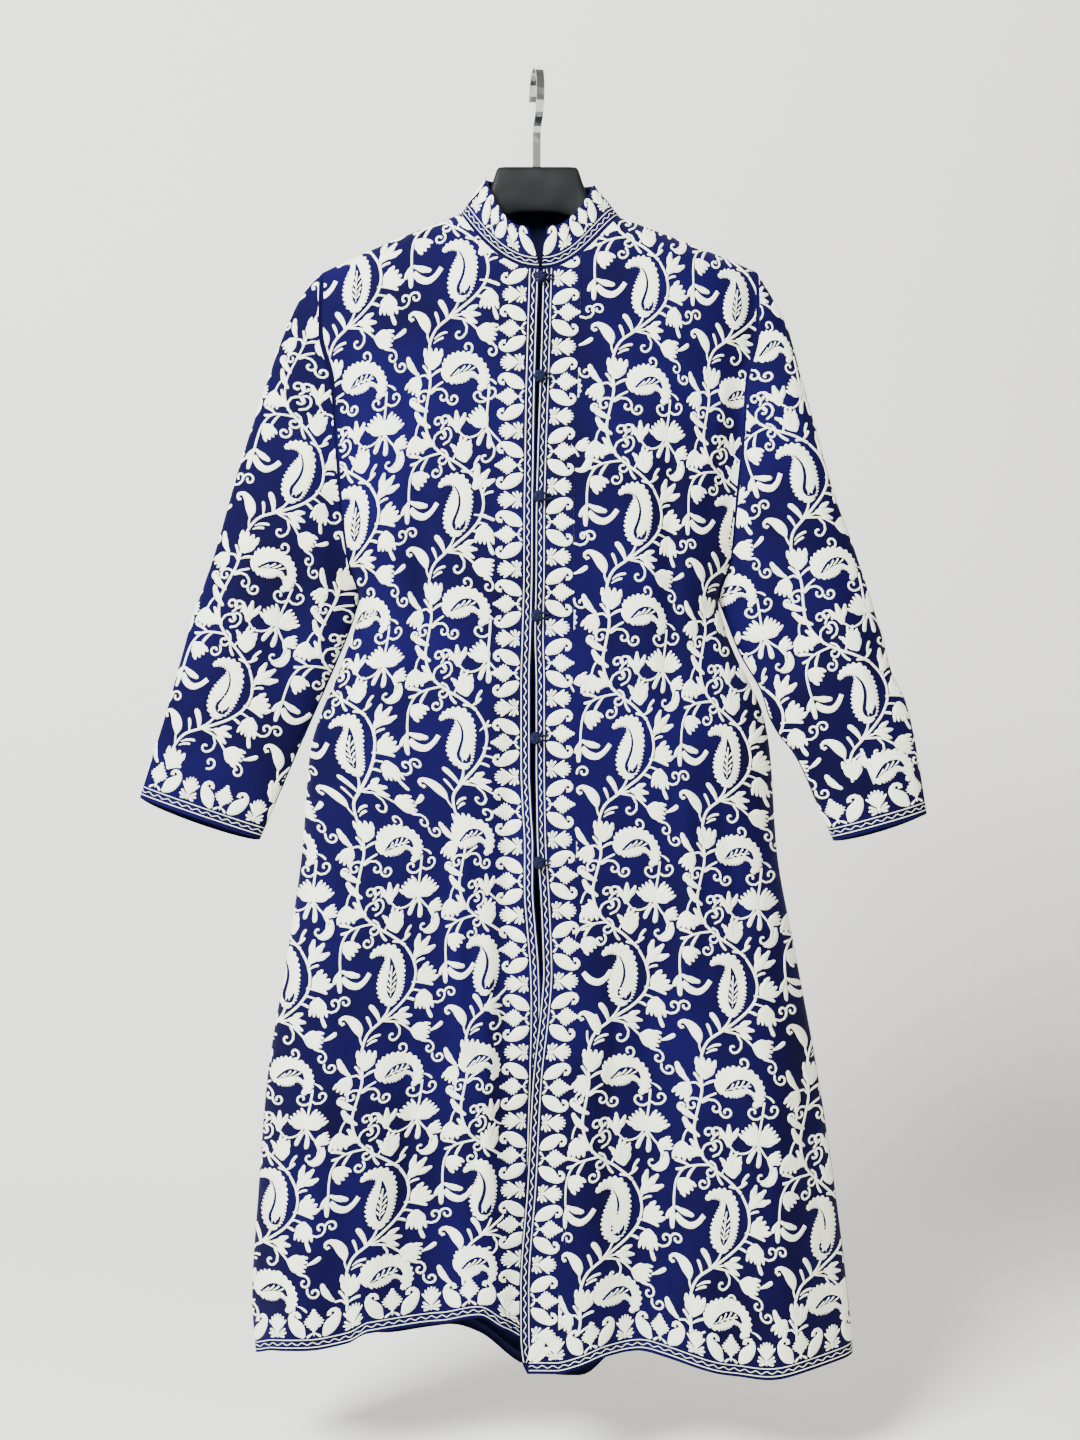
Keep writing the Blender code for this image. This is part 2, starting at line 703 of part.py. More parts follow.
def build_sleeve(side, grids):
    """A sleeve in four quarters, whose first ring is the armhole's own points moved out.

    All four come from one closed tube. Front and back part along its outer and its inner line, upper and
    lower at the elbow. There each is moved away from its neighbour by half of the seam's gap.
    """
    front, front_normals = grids["front_" + side]
    back, back_normals = grids["back"]
    column = 0 if side == "right" else -1
    rows = slice(0, ARMHOLE_ROWS + 1)
    ring = np.concatenate([front[rows, -1], back[ARMHOLE_ROWS - 1 : 0 : -1, column]])
    seam = np.concatenate([front_normals[rows, -1], back_normals[ARMHOLE_ROWS - 1 : 0 : -1, column]])
    seam[ARMHOLE_ROWS] = (0.0, 0.0, -1.0)
    ring[:, 1] = np.where(np.abs(ring[:, 1]) < SEAM_GAP, 0.0, ring[:, 1])
    ring[:, 0] += SEAM_GAP * (-1.0 if side == "right" else 1.0)
    points = sleeve_points(side, ring)
    normals = tube_normals(points)
    normals[0] = seam
    inner = points - normals * CLOTH
    ahead = points[ELBOW_RING + 1] - points[ELBOW_RING - 1]
    apart = ahead * SEAM_GAP / 2 / np.linalg.norm(ahead, axis=-1, keepdims=True)
    halves = {
        "front": ([*range(ARMHOLE_ROWS + 1)], -1.0),
        "back": ([*range(ARMHOLE_ROWS, 2 * ARMHOLE_ROWS), 0], 1.0),
    }
    lengths = {
        "upper": (slice(0, ELBOW_RING + 1), -1, -1.0),
        "lower": (slice(ELBOW_RING, SLEEVE_RINGS + 1), 0, 1.0),
    }
    for half, (columns, sideways) in halves.items():
        for length, (rings, end, along) in lengths.items():
            walls = []
            for face in (points, inner):
                wall = face[rings, columns].copy()
                wall[:, (0, -1), 1] += sideways * SEAM_GAP / 2
                wall[end] += along * apart[columns]
                walls.append(wall)
            add_wall(f"sleeve_{side}_{length}_{half}", *walls, "embroidered cloth")


# Collar


def build_collar():
    """The stand collar: its base follows the neckline's points, its top leans in towards the neck."""
    quarter = np.linspace(0, math.pi / 2, NECK_COLUMNS + 1)
    turn = np.concatenate(
        [quarter - math.pi / 2, quarter[1:], quarter[1:] + math.pi / 2, quarter[1:] + math.pi]
    )
    sine, cosine = np.sin(turn), np.cos(turn)
    is_front = sine < 0
    front = np.where(is_front, -sine, 0)
    edge = np.where(turn < 0, FRONT_EDGES[0].left, FRONT_EDGES[0].right)
    share = np.abs(cosine) * NECK_HALF_WIDTH / SHOULDER_HALF_WIDTH
    base_x = np.where(is_front, edge * (1 - share), 0) + np.sign(cosine) * share * SHOULDER_HALF_WIDTH
    at_right = turn > math.pi / 2
    height = np.abs(sine)
    drops = {
        side: np.where(is_front, neckline(height, side, True), neckline(height, side, False))
        for side in NECKS
    }
    base_drop = np.where(at_right, drops["right"], drops["left"])
    base_y = np.where(is_front, NECK_FRONT_DEPTH, NECK_BACK_DEPTH) * sine
    end_x = np.where(at_right, COLLAR_END_RIGHT, COLLAR_END_LEFT) * front**3
    top_x = COLLAR_TOP_HALF_WIDTH * cosine + end_x
    top_y = np.where(is_front, COLLAR_TOP_FRONT_DEPTH, COLLAR_TOP_BACK_DEPTH) * sine
    side_top = np.interp(-cosine, [-1, 1], [NECKS["left"].collar_top_drop, NECKS["right"].collar_top_drop])
    top_drop = side_top + (COLLAR_FRONT_DROP - side_top) * front**COLLAR_TOP_CURVE
    base = np.stack([base_x, base_y, -base_drop], axis=-1)
    top = np.stack([top_x, top_y, -top_drop], axis=-1)
    up = (top - base) / np.linalg.norm(top - base, axis=-1, keepdims=True)
    base = base + up * COLLAR_BASE_GAP
    share = np.linspace(0, 1, COLLAR_ROWS + 1)[:, None, None]
    points = top * (1 - share) + base * share
    outwards = np.stack([cosine, sine, np.zeros_like(sine)], axis=-1)
    normals = grid_normals(points, outwards)
    add_wall("collar", points, points - normals * COLLAR_CLOTH, "embroidered cloth")


# Buttons and loops


def front_face_y(x, drop):
    """The front's outer face near its opening, where the buttons and loops lie."""
    edges = [float(smooth_curve(FRONT_EDGES, "drop", name, drop)) for name in NECKS]
    side = "left" if x > sum(edges) / 2 else "right"
    share = np.array([abs(x) / SHOULDER_HALF_WIDTH])
    top, top_depth = top_edge(share, side, True)
    depth = panel_depth("front_" + side, share, np.array([x]), np.array([drop]), top, top_depth)
    return -float(depth[0])


def build_button(number, drop, x):
    """A round knot of folded cloth, just in front of the opening."""
    shape = bmesh.new()
    bmesh.ops.create_uvsphere(shape, u_segments=BUTTON_SIDES, v_segments=BUTTON_RINGS, radius=BUTTON_RADIUS)
    nearest = min(front_face_y(x, drop - LOOP_BEND), front_face_y(x, drop + LOOP_BEND))
    y = nearest - BUTTON_RADIUS - SEAM_GAP
    centre = np.array([CENTRE_X + x, y, -drop])
    points = [centre + np.array(vertex.co) for vertex in shape.verts]
    faces = [tuple(vertex.index for vertex in face.verts) for face in shape.faces]
    shape.free()
    add_object(f"button_{number}", points, faces, "navy cord")


def sweep(path, across, section):
    """Points and faces of a section carried along a path and capped at both ends.

    Each section point is moved along the fixed direction across and along the direction that is
    square to it and to the path.
    """
    path = np.asarray(path)
    ahead = np.gradient(path, axis=0)
    ahead /= np.linalg.norm(ahead, axis=1, keepdims=True)
    beside = np.cross(ahead, across)
    beside /= np.linalg.norm(beside, axis=1, keepdims=True)
    section = np.asarray(section)
    points = path[:, None] + section[None, :, :1] * across + section[None, :, 1:] * beside[:, None]
    rings, sides = points.shape[:2]
    faces = [tuple(range(sides)), tuple(range((rings - 1) * sides, rings * sides))]
    for r in range(rings - 1):
        for s in range(sides):
            a, b = r * sides + s, r * sides + (s + 1) % sides
            faces.append((a, b, b + sides, a + sides))
    return points.reshape(-1, 3), faces


def build_loop(number, drop, x):
    """A cord loop: out from the left front, round the foot of the knot, and back."""
    bend = np.linspace(math.radians(LOOP_MOUTH), math.radians(360 - LOOP_MOUTH), 11)
    turned = np.stack([np.cos(bend), np.sin(bend)], axis=-1) * LOOP_BEND
    leg = np.array(LOOP_LEG)
    flat = np.concatenate([leg, turned, leg[::-1] * np.array([1, -1])])
    path = []
    for out, up in flat:
        face_y = min(front_face_y(x + out, drop - up), front_face_y(x + LOOP_FOOT_X, drop))
        path.append((CENTRE_X + x + out, face_y - LOOP_RADIUS - 2 * SEAM_GAP, up - drop))
    round_angles = np.linspace(0, 2 * math.pi, 7)[:-1]
    section = np.stack([np.cos(round_angles), np.sin(round_angles)], axis=-1) * LOOP_RADIUS
    points, faces = sweep(path, np.array([0.0, 1.0, 0.0]), section)
    add_object(f"loop_{number}", points, faces, "navy cord")


# Hanger and hook


def build_hanger():
    """The hanger: rounded sections lofted from one end over the neck plate to the other."""
    rows = [(-row.x, row) for row in HANGER_SECTIONS[:0:-1]] + [(row.x, row) for row in HANGER_SECTIONS]
    corners = HANGER_CORNERS
    angles = np.linspace(0, 2 * math.pi, corners + 1)[:-1] + math.pi / corners
    rounded = np.stack([np.sin(angles), np.cos(angles)], axis=-1)
    rounded = np.sign(rounded) * np.abs(rounded) ** HANGER_ROUNDNESS
    rounded[:, 1] /= rounded[:, 1].max()
    rings = []
    for x, row in rows:
        middle, half_height = -(row.top + row.bottom) / 2, (row.bottom - row.top) / 2
        rings.append(
            [(x + HANGER_X, y * row.half_depth, middle + z * half_height) for y, z in rounded]
        )
    points = [point for ring in rings for point in ring]
    faces = [tuple(range(corners)), tuple(range(len(points) - corners, len(points)))]
    for r in range(len(rings) - 1):
        for s in range(corners):
            a, b = r * corners + s, r * corners + (s + 1) % corners
            faces.append((a, b, b + corners, a + corners))
    add_object("hanger", points, faces, "black plastic")


def hook_path():
    """The hook's middle line: round from its tip over the top, a back bend, and a straight stem."""
    radius = HOOK_INNER_RADIUS + HOOK_BAND_THICKNESS / 2
    centre_z = -HOOK_INNER_RADIUS
    angles = np.radians(np.linspace(HOOK_TIP_ANGLE, HOOK_JOIN_ANGLE, 22))
    ring = np.stack([radius * np.cos(angles), centre_z + radius * np.sin(angles)], axis=-1)
    lean = math.radians(HOOK_JOIN_ANGLE - 180)
    bend = -ring[-1, 0] / (1 - math.cos(lean))
    turns = np.linspace(lean, 0, 7)[1:]
    back_y = -bend * (1 - np.cos(turns))
    back_z = ring[-1, 1] - bend * (math.sin(lean) - np.sin(turns))
    back = np.stack([back_y, back_z], axis=-1)
    stem = np.array([[0.0, -PLATE_TOP_DROP + SEAM_GAP]])
    flat = np.concatenate([ring, back, stem])
    turn = math.radians(HOOK_TURN)
    x = -flat[:, 0] * math.sin(turn)
    y = flat[:, 0] * math.cos(turn)
    return np.stack([x, y, flat[:, 1]], axis=-1)


def build_hook():
    """The flat chrome band along the hook's middle line."""
    turn = math.radians(HOOK_TURN)
    across = np.array([math.cos(turn), math.sin(turn), 0.0])
    w, t = HOOK_BAND_WIDTH / 2, HOOK_BAND_THICKNESS / 2
    section = [(-w, -t), (w, -t), (w, t), (-w, t)]
    points, faces = sweep(hook_path(), across, section)
    add_object("hook", points, faces, "chrome")


def main():
    clear_scene()
    grids = build_body()
    for side in ("right", "left"):
        build_sleeve(side, grids)
    build_collar()
    for number, button in enumerate(BUTTONS, start=1):
        build_button(number, *button)
        build_loop(number, *button)
    build_hanger()
    build_hook()


main()
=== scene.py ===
"""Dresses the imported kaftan: fine cloth with creases, raised crewel embroidery, knot buttons, and the stage.

The cloth repeats the frame's own surface formulas on finer grids. The embroidery is drawn as strokes in a
flat pattern, in millimetres, which is laid over each panel and pushed out along the cloth's normals.
Units are metres, +Z is up, the front faces -Y, and heights are drops below the hook's inside top.
"""

import json
import math
from collections import namedtuple

import bpy
import numpy as np
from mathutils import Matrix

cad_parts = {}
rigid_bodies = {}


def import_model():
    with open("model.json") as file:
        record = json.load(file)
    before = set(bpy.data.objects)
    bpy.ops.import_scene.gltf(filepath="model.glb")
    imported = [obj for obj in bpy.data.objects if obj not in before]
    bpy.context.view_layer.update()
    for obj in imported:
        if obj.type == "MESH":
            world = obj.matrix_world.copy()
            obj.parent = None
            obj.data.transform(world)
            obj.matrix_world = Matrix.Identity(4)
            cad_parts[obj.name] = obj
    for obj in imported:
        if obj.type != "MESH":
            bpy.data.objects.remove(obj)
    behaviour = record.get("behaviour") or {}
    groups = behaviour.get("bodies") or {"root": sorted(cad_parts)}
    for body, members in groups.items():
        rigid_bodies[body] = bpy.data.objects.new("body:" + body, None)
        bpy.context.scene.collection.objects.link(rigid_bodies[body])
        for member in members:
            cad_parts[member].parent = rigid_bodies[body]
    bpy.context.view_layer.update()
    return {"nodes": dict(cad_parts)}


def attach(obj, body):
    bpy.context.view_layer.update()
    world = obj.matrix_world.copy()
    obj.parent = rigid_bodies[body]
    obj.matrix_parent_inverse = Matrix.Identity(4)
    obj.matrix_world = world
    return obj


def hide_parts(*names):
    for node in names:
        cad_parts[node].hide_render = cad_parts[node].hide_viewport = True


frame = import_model()

bl_info = {
    "name": "Embroidered kaftan",
    "version": (1, 0, 0),
    "blender": (4, 5, 0),
    "location": "3D View > Sidebar > Kaftan",
    "description": "Builds the cloth, embroidery, buttons, hanger finish and stage of the kaftan",
    "category": "Object",
}

# The frame's own measures, in metres
CLOTH = 0.0016
LINING = 0.0010
COLLAR_CLOTH = 0.0020
SEAM_GAP = 0.0003
CENTRE_X = 0.0035
NECK_HALF_WIDTH = 0.081
FRONT_NECK_DROP = 0.212
BACK_NECK_DROP = 0.146
NECK_FRONT_DEPTH = 0.040
NECK_BACK_DEPTH = 0.024
SHOULDER_HALF_WIDTH = 0.222
SHOULDER_TIP_DROP = 0.2075
SHOULDER_ROUND = 0.045
SIDE_FULLNESS = 4.5
UNDERARM_DROP = 0.545
ARMHOLE_HALF_DEPTH = 0.026
LINING_GAP = 0.0006
LINING_SHORT = 0.012
LINING_TOP_SHORT = 0.006
COLLAR_TOP_HALF_WIDTH = 0.0560
COLLAR_FRONT_DROP = 0.1695
COLLAR_TOP_FRONT_DEPTH = 0.034
COLLAR_TOP_BACK_DEPTH = 0.016
COLLAR_TOP_CURVE = 1.8
COLLAR_END_RIGHT = -0.0115
COLLAR_END_LEFT = 0.0060
COLLAR_BASE_GAP = 0.0007
BUTTON_RADIUS = 0.0056
# Each button's drop and its place across
BUTTONS = ((0.222, 0.0007), (0.323, 0.0001), (0.444, -0.0003), (0.563, -0.0029), (0.685, -0.0039),
           (0.809, -0.0012))
LOOP_RADIUS = 0.0010
LOOP_BEND = 0.0054
LOOP_LENGTH = 0.012
HANGER_X = 0.001
HANGER_ROUNDNESS = 0.8
FOLD_TOP_DROP = 0.60
STEP_X = -0.052
STEP_WIDTH = 0.026
STEP_START = 0.80
STEP_FULL = 1.06
STEP_DEEP = 0.018
SLEEVE_BACK_LONGER = 0.008
SLEEVE_FLATNESS = 0.78
SLEEVE_BLEND = 0.35


def rows_of(kind, *values):
    """A table with one named row for each set of values."""
    return tuple(kind(*row) for row in values)


Neck = namedtuple("Neck", "point_drop curve collar_top_drop")
NECKS = {"right": Neck(0.148, 1.95, 0.112), "left": Neck(0.152, 2.60, 0.118)}

Side = namedtuple("Side", "drop right left")
# Half width of the body at its armhole and side seams
SIDES = rows_of(
    Side,
    (0.2075, 0.222, 0.222), (0.271, 0.222, 0.221), (0.322, 0.210, 0.210), (0.382, 0.206, 0.206),
    (0.444, 0.202, 0.200), (0.501, 0.196, 0.195), (0.545, 0.185, 0.183), (0.570, 0.189, 0.1885),
    (0.600, 0.200, 0.200), (0.625, 0.209, 0.2125), (0.660, 0.2245, 0.2285), (0.700, 0.236, 0.2360),
    (0.800, 0.244, 0.243), (0.905, 0.259, 0.262), (1.036, 0.280, 0.286), (1.150, 0.289, 0.303),
    (1.262, 0.2955, 0.3165), (1.313, 0.292, 0.321),
)

Depth = namedtuple("Depth", "drop front back")
# How far the cloth stands before and behind the seams' plane
DEPTHS = rows_of(
    Depth,
    (0.148, 0.026, 0.026), (0.212, 0.040, 0.034), (0.300, 0.048, 0.038), (0.420, 0.054, 0.038),
    (0.600, 0.056, 0.038), (0.900, 0.058, 0.038), (1.313, 0.060, 0.040),
)

Edge = namedtuple("Edge", "drop right left")
# The two edges of the front opening
FRONT_EDGES = rows_of(
    Edge,
    (0.212, -0.0006, 0.0020), (0.306, -0.0034, -0.0006), (0.346, -0.0044, -0.0020),
    (0.413, -0.0053, -0.0042), (0.462, -0.0061, -0.0053), (0.516, -0.0063, -0.0055),
    (0.583, -0.0079, -0.0066), (0.630, -0.0092, -0.0054), (0.712, -0.0092, -0.0054),
    (0.752, -0.0078, -0.0049), (0.793, -0.0056, -0.0040), (0.835, -0.0058, -0.0012),
    (0.873, -0.0032, 0.0006), (0.919, 0.0002, 0.0020), (0.957, 0.0010, -0.0007), (1.026, -0.0005, -0.0083),
    (1.128, -0.0030, -0.0137), (1.235, -0.0030, -0.0208), (1.281, -0.0030, -0.0206),
    (1.304, -0.0030, -0.0185), (1.318, -0.0030, -0.0125),
)

Fold = namedtuple("Fold", "x_top x_hem start full width out")
# The frame's long ridges and troughs
FOLDS = {
    "front_right": rows_of(
        Fold,
        (-0.190, -0.238, 0.70, 1.20, 0.036, 0.016), (-0.100, -0.110, 0.80, 1.25, 0.042, -0.018),
        (-0.150, -0.175, 0.85, 1.20, 0.020, 0.006), (-0.024, -0.052, 0.50, 0.80, 0.011, -0.007),
    ),
    "front_left": rows_of(
        Fold,
        (0.050, 0.040, 0.85, 1.25, 0.030, 0.007), (0.112, 0.100, 0.66, 1.20, 0.036, -0.017),
        (0.165, 0.170, 0.90, 1.25, 0.022, 0.007), (0.195, 0.244, 0.72, 1.20, 0.036, 0.016),
    ),
    "back": rows_of(
        Fold,
        (0.030, 0.036, 0.75, 1.25, 0.046, -0.046), (-0.060, -0.075, 0.70, 1.20, 0.034, 0.014),
        (0.105, 0.125, 0.70, 1.20, 0.034, 0.013), (-0.130, -0.160, 0.80, 1.20, 0.030, -0.016),
        (0.150, 0.195, 0.80, 1.20, 0.030, -0.016), (-0.180, -0.230, 0.75, 1.20, 0.028, 0.012),
        (0.195, 0.258, 0.75, 1.20, 0.028, 0.012),
    ),
}

Dart = namedtuple("Dart", "x start end width deep")
DARTS = {
    "front_right": rows_of(Dart, (-0.118, 0.370, 0.680, 0.012, 0.005)),
    "front_left": rows_of(Dart, (0.130, 0.355, 0.690, 0.012, 0.006)),
    "back": (),
}

Hem = namedtuple("Hem", "x drop")
HEMS = {
    "front_right": rows_of(
        Hem,
        (-0.292, 1.313), (-0.268, 1.301), (-0.240, 1.2945), (-0.215, 1.2920), (-0.190, 1.287),
        (-0.170, 1.277), (-0.140, 1.276), (-0.100, 1.273), (-0.062, 1.264), (-0.036, 1.279),
        (-0.003, 1.299),
    ),
    "front_left": rows_of(
        Hem,
        (-0.011, 1.3175), (0.016, 1.3165), (0.036, 1.311), (0.067, 1.302), (0.100, 1.300), (0.125, 1.304),
        (0.160, 1.312), (0.190, 1.319), (0.220, 1.322), (0.262, 1.317), (0.321, 1.313),
    ),
    "back": rows_of(
        Hem,
        (-0.292, 1.313), (-0.190, 1.303), (-0.100, 1.302), (-0.062, 1.312), (-0.015, 1.337), (0.041, 1.339),
        (0.067, 1.324), (0.100, 1.310), (0.160, 1.304), (0.262, 1.309), (0.321, 1.313),
    ),
}

Arm = namedtuple("Arm", "drop x")
SLEEVE_OUTLINES = {
    "right": {
        "outer": rows_of(
            Arm,
            (0.2075, 0.2225), (0.218, 0.2330), (0.232, 0.2440), (0.269, 0.2610), (0.337, 0.284),
            (0.410, 0.307), (0.499, 0.332), (0.564, 0.354), (0.657, 0.380), (0.746, 0.408),
        ),
        "inner": rows_of(
            Arm,
            (0.545, 0.1855), (0.570, 0.1930), (0.594, 0.2020), (0.635, 0.2190), (0.683, 0.2400),
            (0.734, 0.2620), (0.788, 0.2855),
        ),
    },
    "left": {
        "outer": rows_of(
            Arm,
            (0.2075, 0.2225), (0.218, 0.2285), (0.232, 0.2370), (0.269, 0.2545), (0.319, 0.2675),
            (0.370, 0.2815), (0.431, 0.2980), (0.503, 0.3235), (0.585, 0.349), (0.620, 0.3585),
            (0.6465, 0.3715), (0.680, 0.380), (0.762, 0.394),
        ),
        "inner": rows_of(
            Arm,
            (0.545, 0.1835), (0.566, 0.1910), (0.600, 0.2045), (0.640, 0.2265), (0.662, 0.2330),
            (0.679, 0.2415), (0.705, 0.2610), (0.750, 0.2815), (0.789, 0.2990),
        ),
    },
}

Thick = namedtuple("Thick", "along right left forward")
SLEEVE_DEPTHS = rows_of(
    Thick,
    (0.00, 0.026, 0.026, 0.000), (0.15, 0.031, 0.031, 0.004), (0.50, 0.025, 0.027, 0.012),
    (0.85, 0.017, 0.024, 0.014), (1.00, 0.014, 0.024, 0.012),
)

Crease = namedtuple("Crease", "along around length width out")
# The frame's own soft bends, then the finer ones seen at the elbow and above the cuff
SLEEVE_CREASES = {
    "right": rows_of(
        Crease,
        (0.40, 0.62, 0.16, 0.10, -0.006), (0.62, 0.34, 0.20, 0.10, 0.005), (0.45, 1.45, 0.22, 0.12, -0.005),
        (0.52, 0.72, 0.030, 0.14, -0.0020), (0.60, 0.68, 0.025, 0.12, 0.0016),
        (0.80, 0.45, 0.120, 0.05, -0.0018), (0.58, 1.35, 0.035, 0.14, -0.0018),
    ),
    "left": rows_of(
        Crease,
        (0.38, 0.60, 0.16, 0.10, -0.006), (0.66, 0.36, 0.20, 0.10, 0.005), (0.45, 1.45, 0.22, 0.12, -0.005),
        (0.48, 0.70, 0.028, 0.15, -0.0022), (0.57, 0.74, 0.030, 0.10, 0.0018),
        (0.82, 0.52, 0.110, 0.05, -0.0018), (0.54, 1.30, 0.032, 0.13, -0.0018),
    ),
}

Section = namedtuple("Section", "x top bottom half_depth")
# Half of the hanger from its middle to one end
HANGER_SECTIONS = rows_of(
    Section,
    (0.000, 0.0996, 0.1455, 0.0055), (0.017, 0.0996, 0.1462, 0.0055), (0.032, 0.0996, 0.1500, 0.0055),
    (0.0400, 0.1004, 0.1560, 0.0055), (0.0470, 0.1180, 0.1640, 0.0060), (0.0555, 0.1375, 0.1720, 0.0065),
    (0.0680, 0.1570, 0.1805, 0.0075), (0.0850, 0.1648, 0.1885, 0.0085), (0.1150, 0.1745, 0.2000, 0.0100),
    (0.1500, 0.1855, 0.2110, 0.0110), (0.1800, 0.1965, 0.2200, 0.0095), (0.2040, 0.2060, 0.2250, 0.0060),
)

Wrinkle = namedtuple("Wrinkle", "x0 drop0 x1 drop1 width out")
# Fine soft creases drawn from one place to another on a panel: half width and height
WRINKLES = {
    "front_right": rows_of(
        Wrinkle,
        (-0.060, 0.24, -0.150, 0.36, 0.010, -0.0016), (-0.185, 0.30, -0.150, 0.50, 0.010, 0.0016),
        (-0.195, 0.52, -0.140, 0.60, 0.008, -0.0018), (-0.165, 0.62, -0.205, 0.95, 0.010, -0.0020),
        (-0.130, 0.95, -0.135, 1.24, 0.009, -0.0020), (-0.215, 0.90, -0.250, 1.22, 0.009, -0.0022),
        (-0.075, 0.70, -0.080, 1.10, 0.010, 0.0022), (-0.062, 1.05, -0.066, 1.25, 0.008, -0.0020),
    ),
    "front_left": rows_of(
        Wrinkle,
        (0.070, 0.25, 0.165, 0.34, 0.010, -0.0016), (0.190, 0.30, 0.160, 0.47, 0.009, 0.0016),
        (0.195, 0.50, 0.150, 0.61, 0.008, -0.0018), (0.150, 0.68, 0.145, 1.02, 0.010, 0.0022),
        (0.180, 0.72, 0.215, 1.05, 0.010, -0.0022), (0.075, 0.88, 0.070, 1.26, 0.009, -0.0020),
        (0.215, 1.00, 0.235, 1.27, 0.009, -0.0018), (0.268, 0.98, 0.292, 1.28, 0.009, -0.0020),
    ),
    "back": rows_of(
        Wrinkle,
        (-0.100, 0.24, -0.030, 0.45, 0.012, -0.0018), (0.110, 0.25, 0.045, 0.43, 0.012, -0.0018),
        (-0.170, 0.50, -0.120, 0.66, 0.010, 0.0018), (0.170, 0.52, 0.110, 0.69, 0.010, 0.0018),
        (0.000, 0.60, -0.012, 1.10, 0.012, 0.0020), (-0.105, 0.78, -0.118, 1.24, 0.010, -0.0020),
        (0.072, 0.82, 0.085, 1.25, 0.010, -0.0022), (-0.205, 0.84, -0.252, 1.26, 0.010, 0.0018),
        (0.228, 0.86, 0.280, 1.26, 0.010, 0.0018),
    ),
}

# Steps of the cloth's grids, and how far the fine creases are built up
COLUMN_STEP = 0.0046
ROW_STEP = 0.0085
CREASE_SHARE = 1.9
# Places along and round the sleeve, down and round the collar, along and round the hanger
SLEEVE_GRID = (96, 72)
COLLAR_GRID = (13, 161)
HANGER_GRID = (205, 24)

# How near to a seam the vine and a border go, as shares of a panel, how near to a sleeve's inner seam, as
# a cosine, and how small the cross product of a stitched face's diagonals may be
SEAM_SHARE = 0.992
BORDER_SHARE = 0.996
SLEEVE_SEAM_COSINE = -0.985
LEAST_FACE = 1e-10
# How far a front's edge border starts above the neckline, and a sleeve's outer and inner length, in metres
EDGE_RISE = 0.016
OUTER_LENGTH = 0.52
INNER_LENGTH = 0.26
# A knot's cord: how far it swings up and down, as an angle, and in and out, and its filling's share
KNOT_SWING = 0.85
KNOT_WEAVE = 0.0005
KNOT_FILLING = 0.66
# A loop's legs, as places from the knot, and half of the opening between them, in degrees
LOOP_LEG = ((LOOP_LENGTH, 0.0018), (0.010, 0.0020), (0.008, 0.0024))
LOOP_OPENING = 40

# The embroidery: lengths are in millimetres of the flat pattern
CELL_WIDTH = 109.0
CELL_HEIGHT = 230.0
EDGE_HEIGHTS = (-0.25, 0.68, 0.92)
TOP_HEIGHTS = (0.80, 1.02, 1.28)
NARROW = (-1.0, -0.55, 0.55, 1.0)
BROAD = (-1.0, -0.82, -0.3, 0.3, 0.82, 1.0)
BROAD_FROM = 4.5
TOOTH_PERIOD = 3.9
BORDER_TOOTH = 2.7
TOOTH_DEPTH = 2.9
STEM_STEP = 4.0
BODY_STEP = 3.0
LEAF_PLACES = 6
CURL_PLACES = 12
# How far the stitches start apart on two copies of a repeat
STITCH_SHIFT = 17.0
CURL_RADIUS = 5.4
CURL_EYE = 1.9
CURL_REACH = 8.0
CUP_REACH = 11.0
PAISLEY_REACH = 26.0
BORDER_PERIOD = 71.0
BORDER_LEADS = {"front_right": 9.5}
BORDER_LEAD = -8.5
BORDER_END = 54.0
BAND = 11.0
BORDER_TOP = 38.0
# How far the borders lie in from the hem, the cuff's edge and the neckline
HEM_INSET = 1.5
CUFF_INSET = 2.5
COLLAR_INSET = 0.3
BAND_LINES = (1.9, 9.6)
BAND_WIDTH = 1.05
ZIGZAG_Y = 5.7
ZIGZAG_HEIGHT = 1.5
ZIGZAG_PERIOD = 10.6

Stem = namedtuple("Stem", "width points")
# The vine, then its branches: width and the points that each passes through
STEMS = rows_of(
    Stem,
    (2.8, ((18, -31), (26, -17), (28.5, -4), (25.5, 9), (17, 21), (3, 33), (-11, 43), (-25, 54), (-31, 67),
        (-32, 85), (-31, 104), (-34, 122), (-36, 142), (-26, 166), (-12, 178), (1, 186), (11, 193),
        (18, 199))),
    (2.3, ((-9, 42), (8, 46), (20, 56))), (2.3, ((0, 26), (-4, 34), (-11, 42))),
    (2.1, ((-9, 42), (-2, 40.5), (6, 39))), (2.1, ((17, 21), (24, 14), (33, 16))),
    (2.1, ((24, 6), (32, 6.5))), (2.1, ((26, -13), (30, -22))), (2.3, ((-32, 100), (-36, 96), (-43, 97))),
    (2.3, ((-32, 114), (-26, 109), (-17, 104))), (2.4, ((30, 108), (29, 124), (28, 140), (29, 156))),
    (2.1, ((29, 150), (24, 158), (20, 165))), (2.1, ((29, 150), (36, 158), (44, 166), (48, 172))),
    (2.1, ((-35, 136), (-44, 146), (-46, 156))), (2.1, ((-31, 66), (-33, 60), (-33, 52))),
    (2.3, ((-18, 174), (-30, 176), (-41, 180), (-48, 192), (-49.5, 208), (-49, 220))),
    (2.1, ((28.5, 142), (20, 157), (8, 160), (-1, 153))), (2.1, ((-5, 183), (-2, 176), (3, 171))),
)

Leaf = namedtuple("Leaf", "x0 y0 x1 y1 width bow point", defaults=(0.0, 0.0))
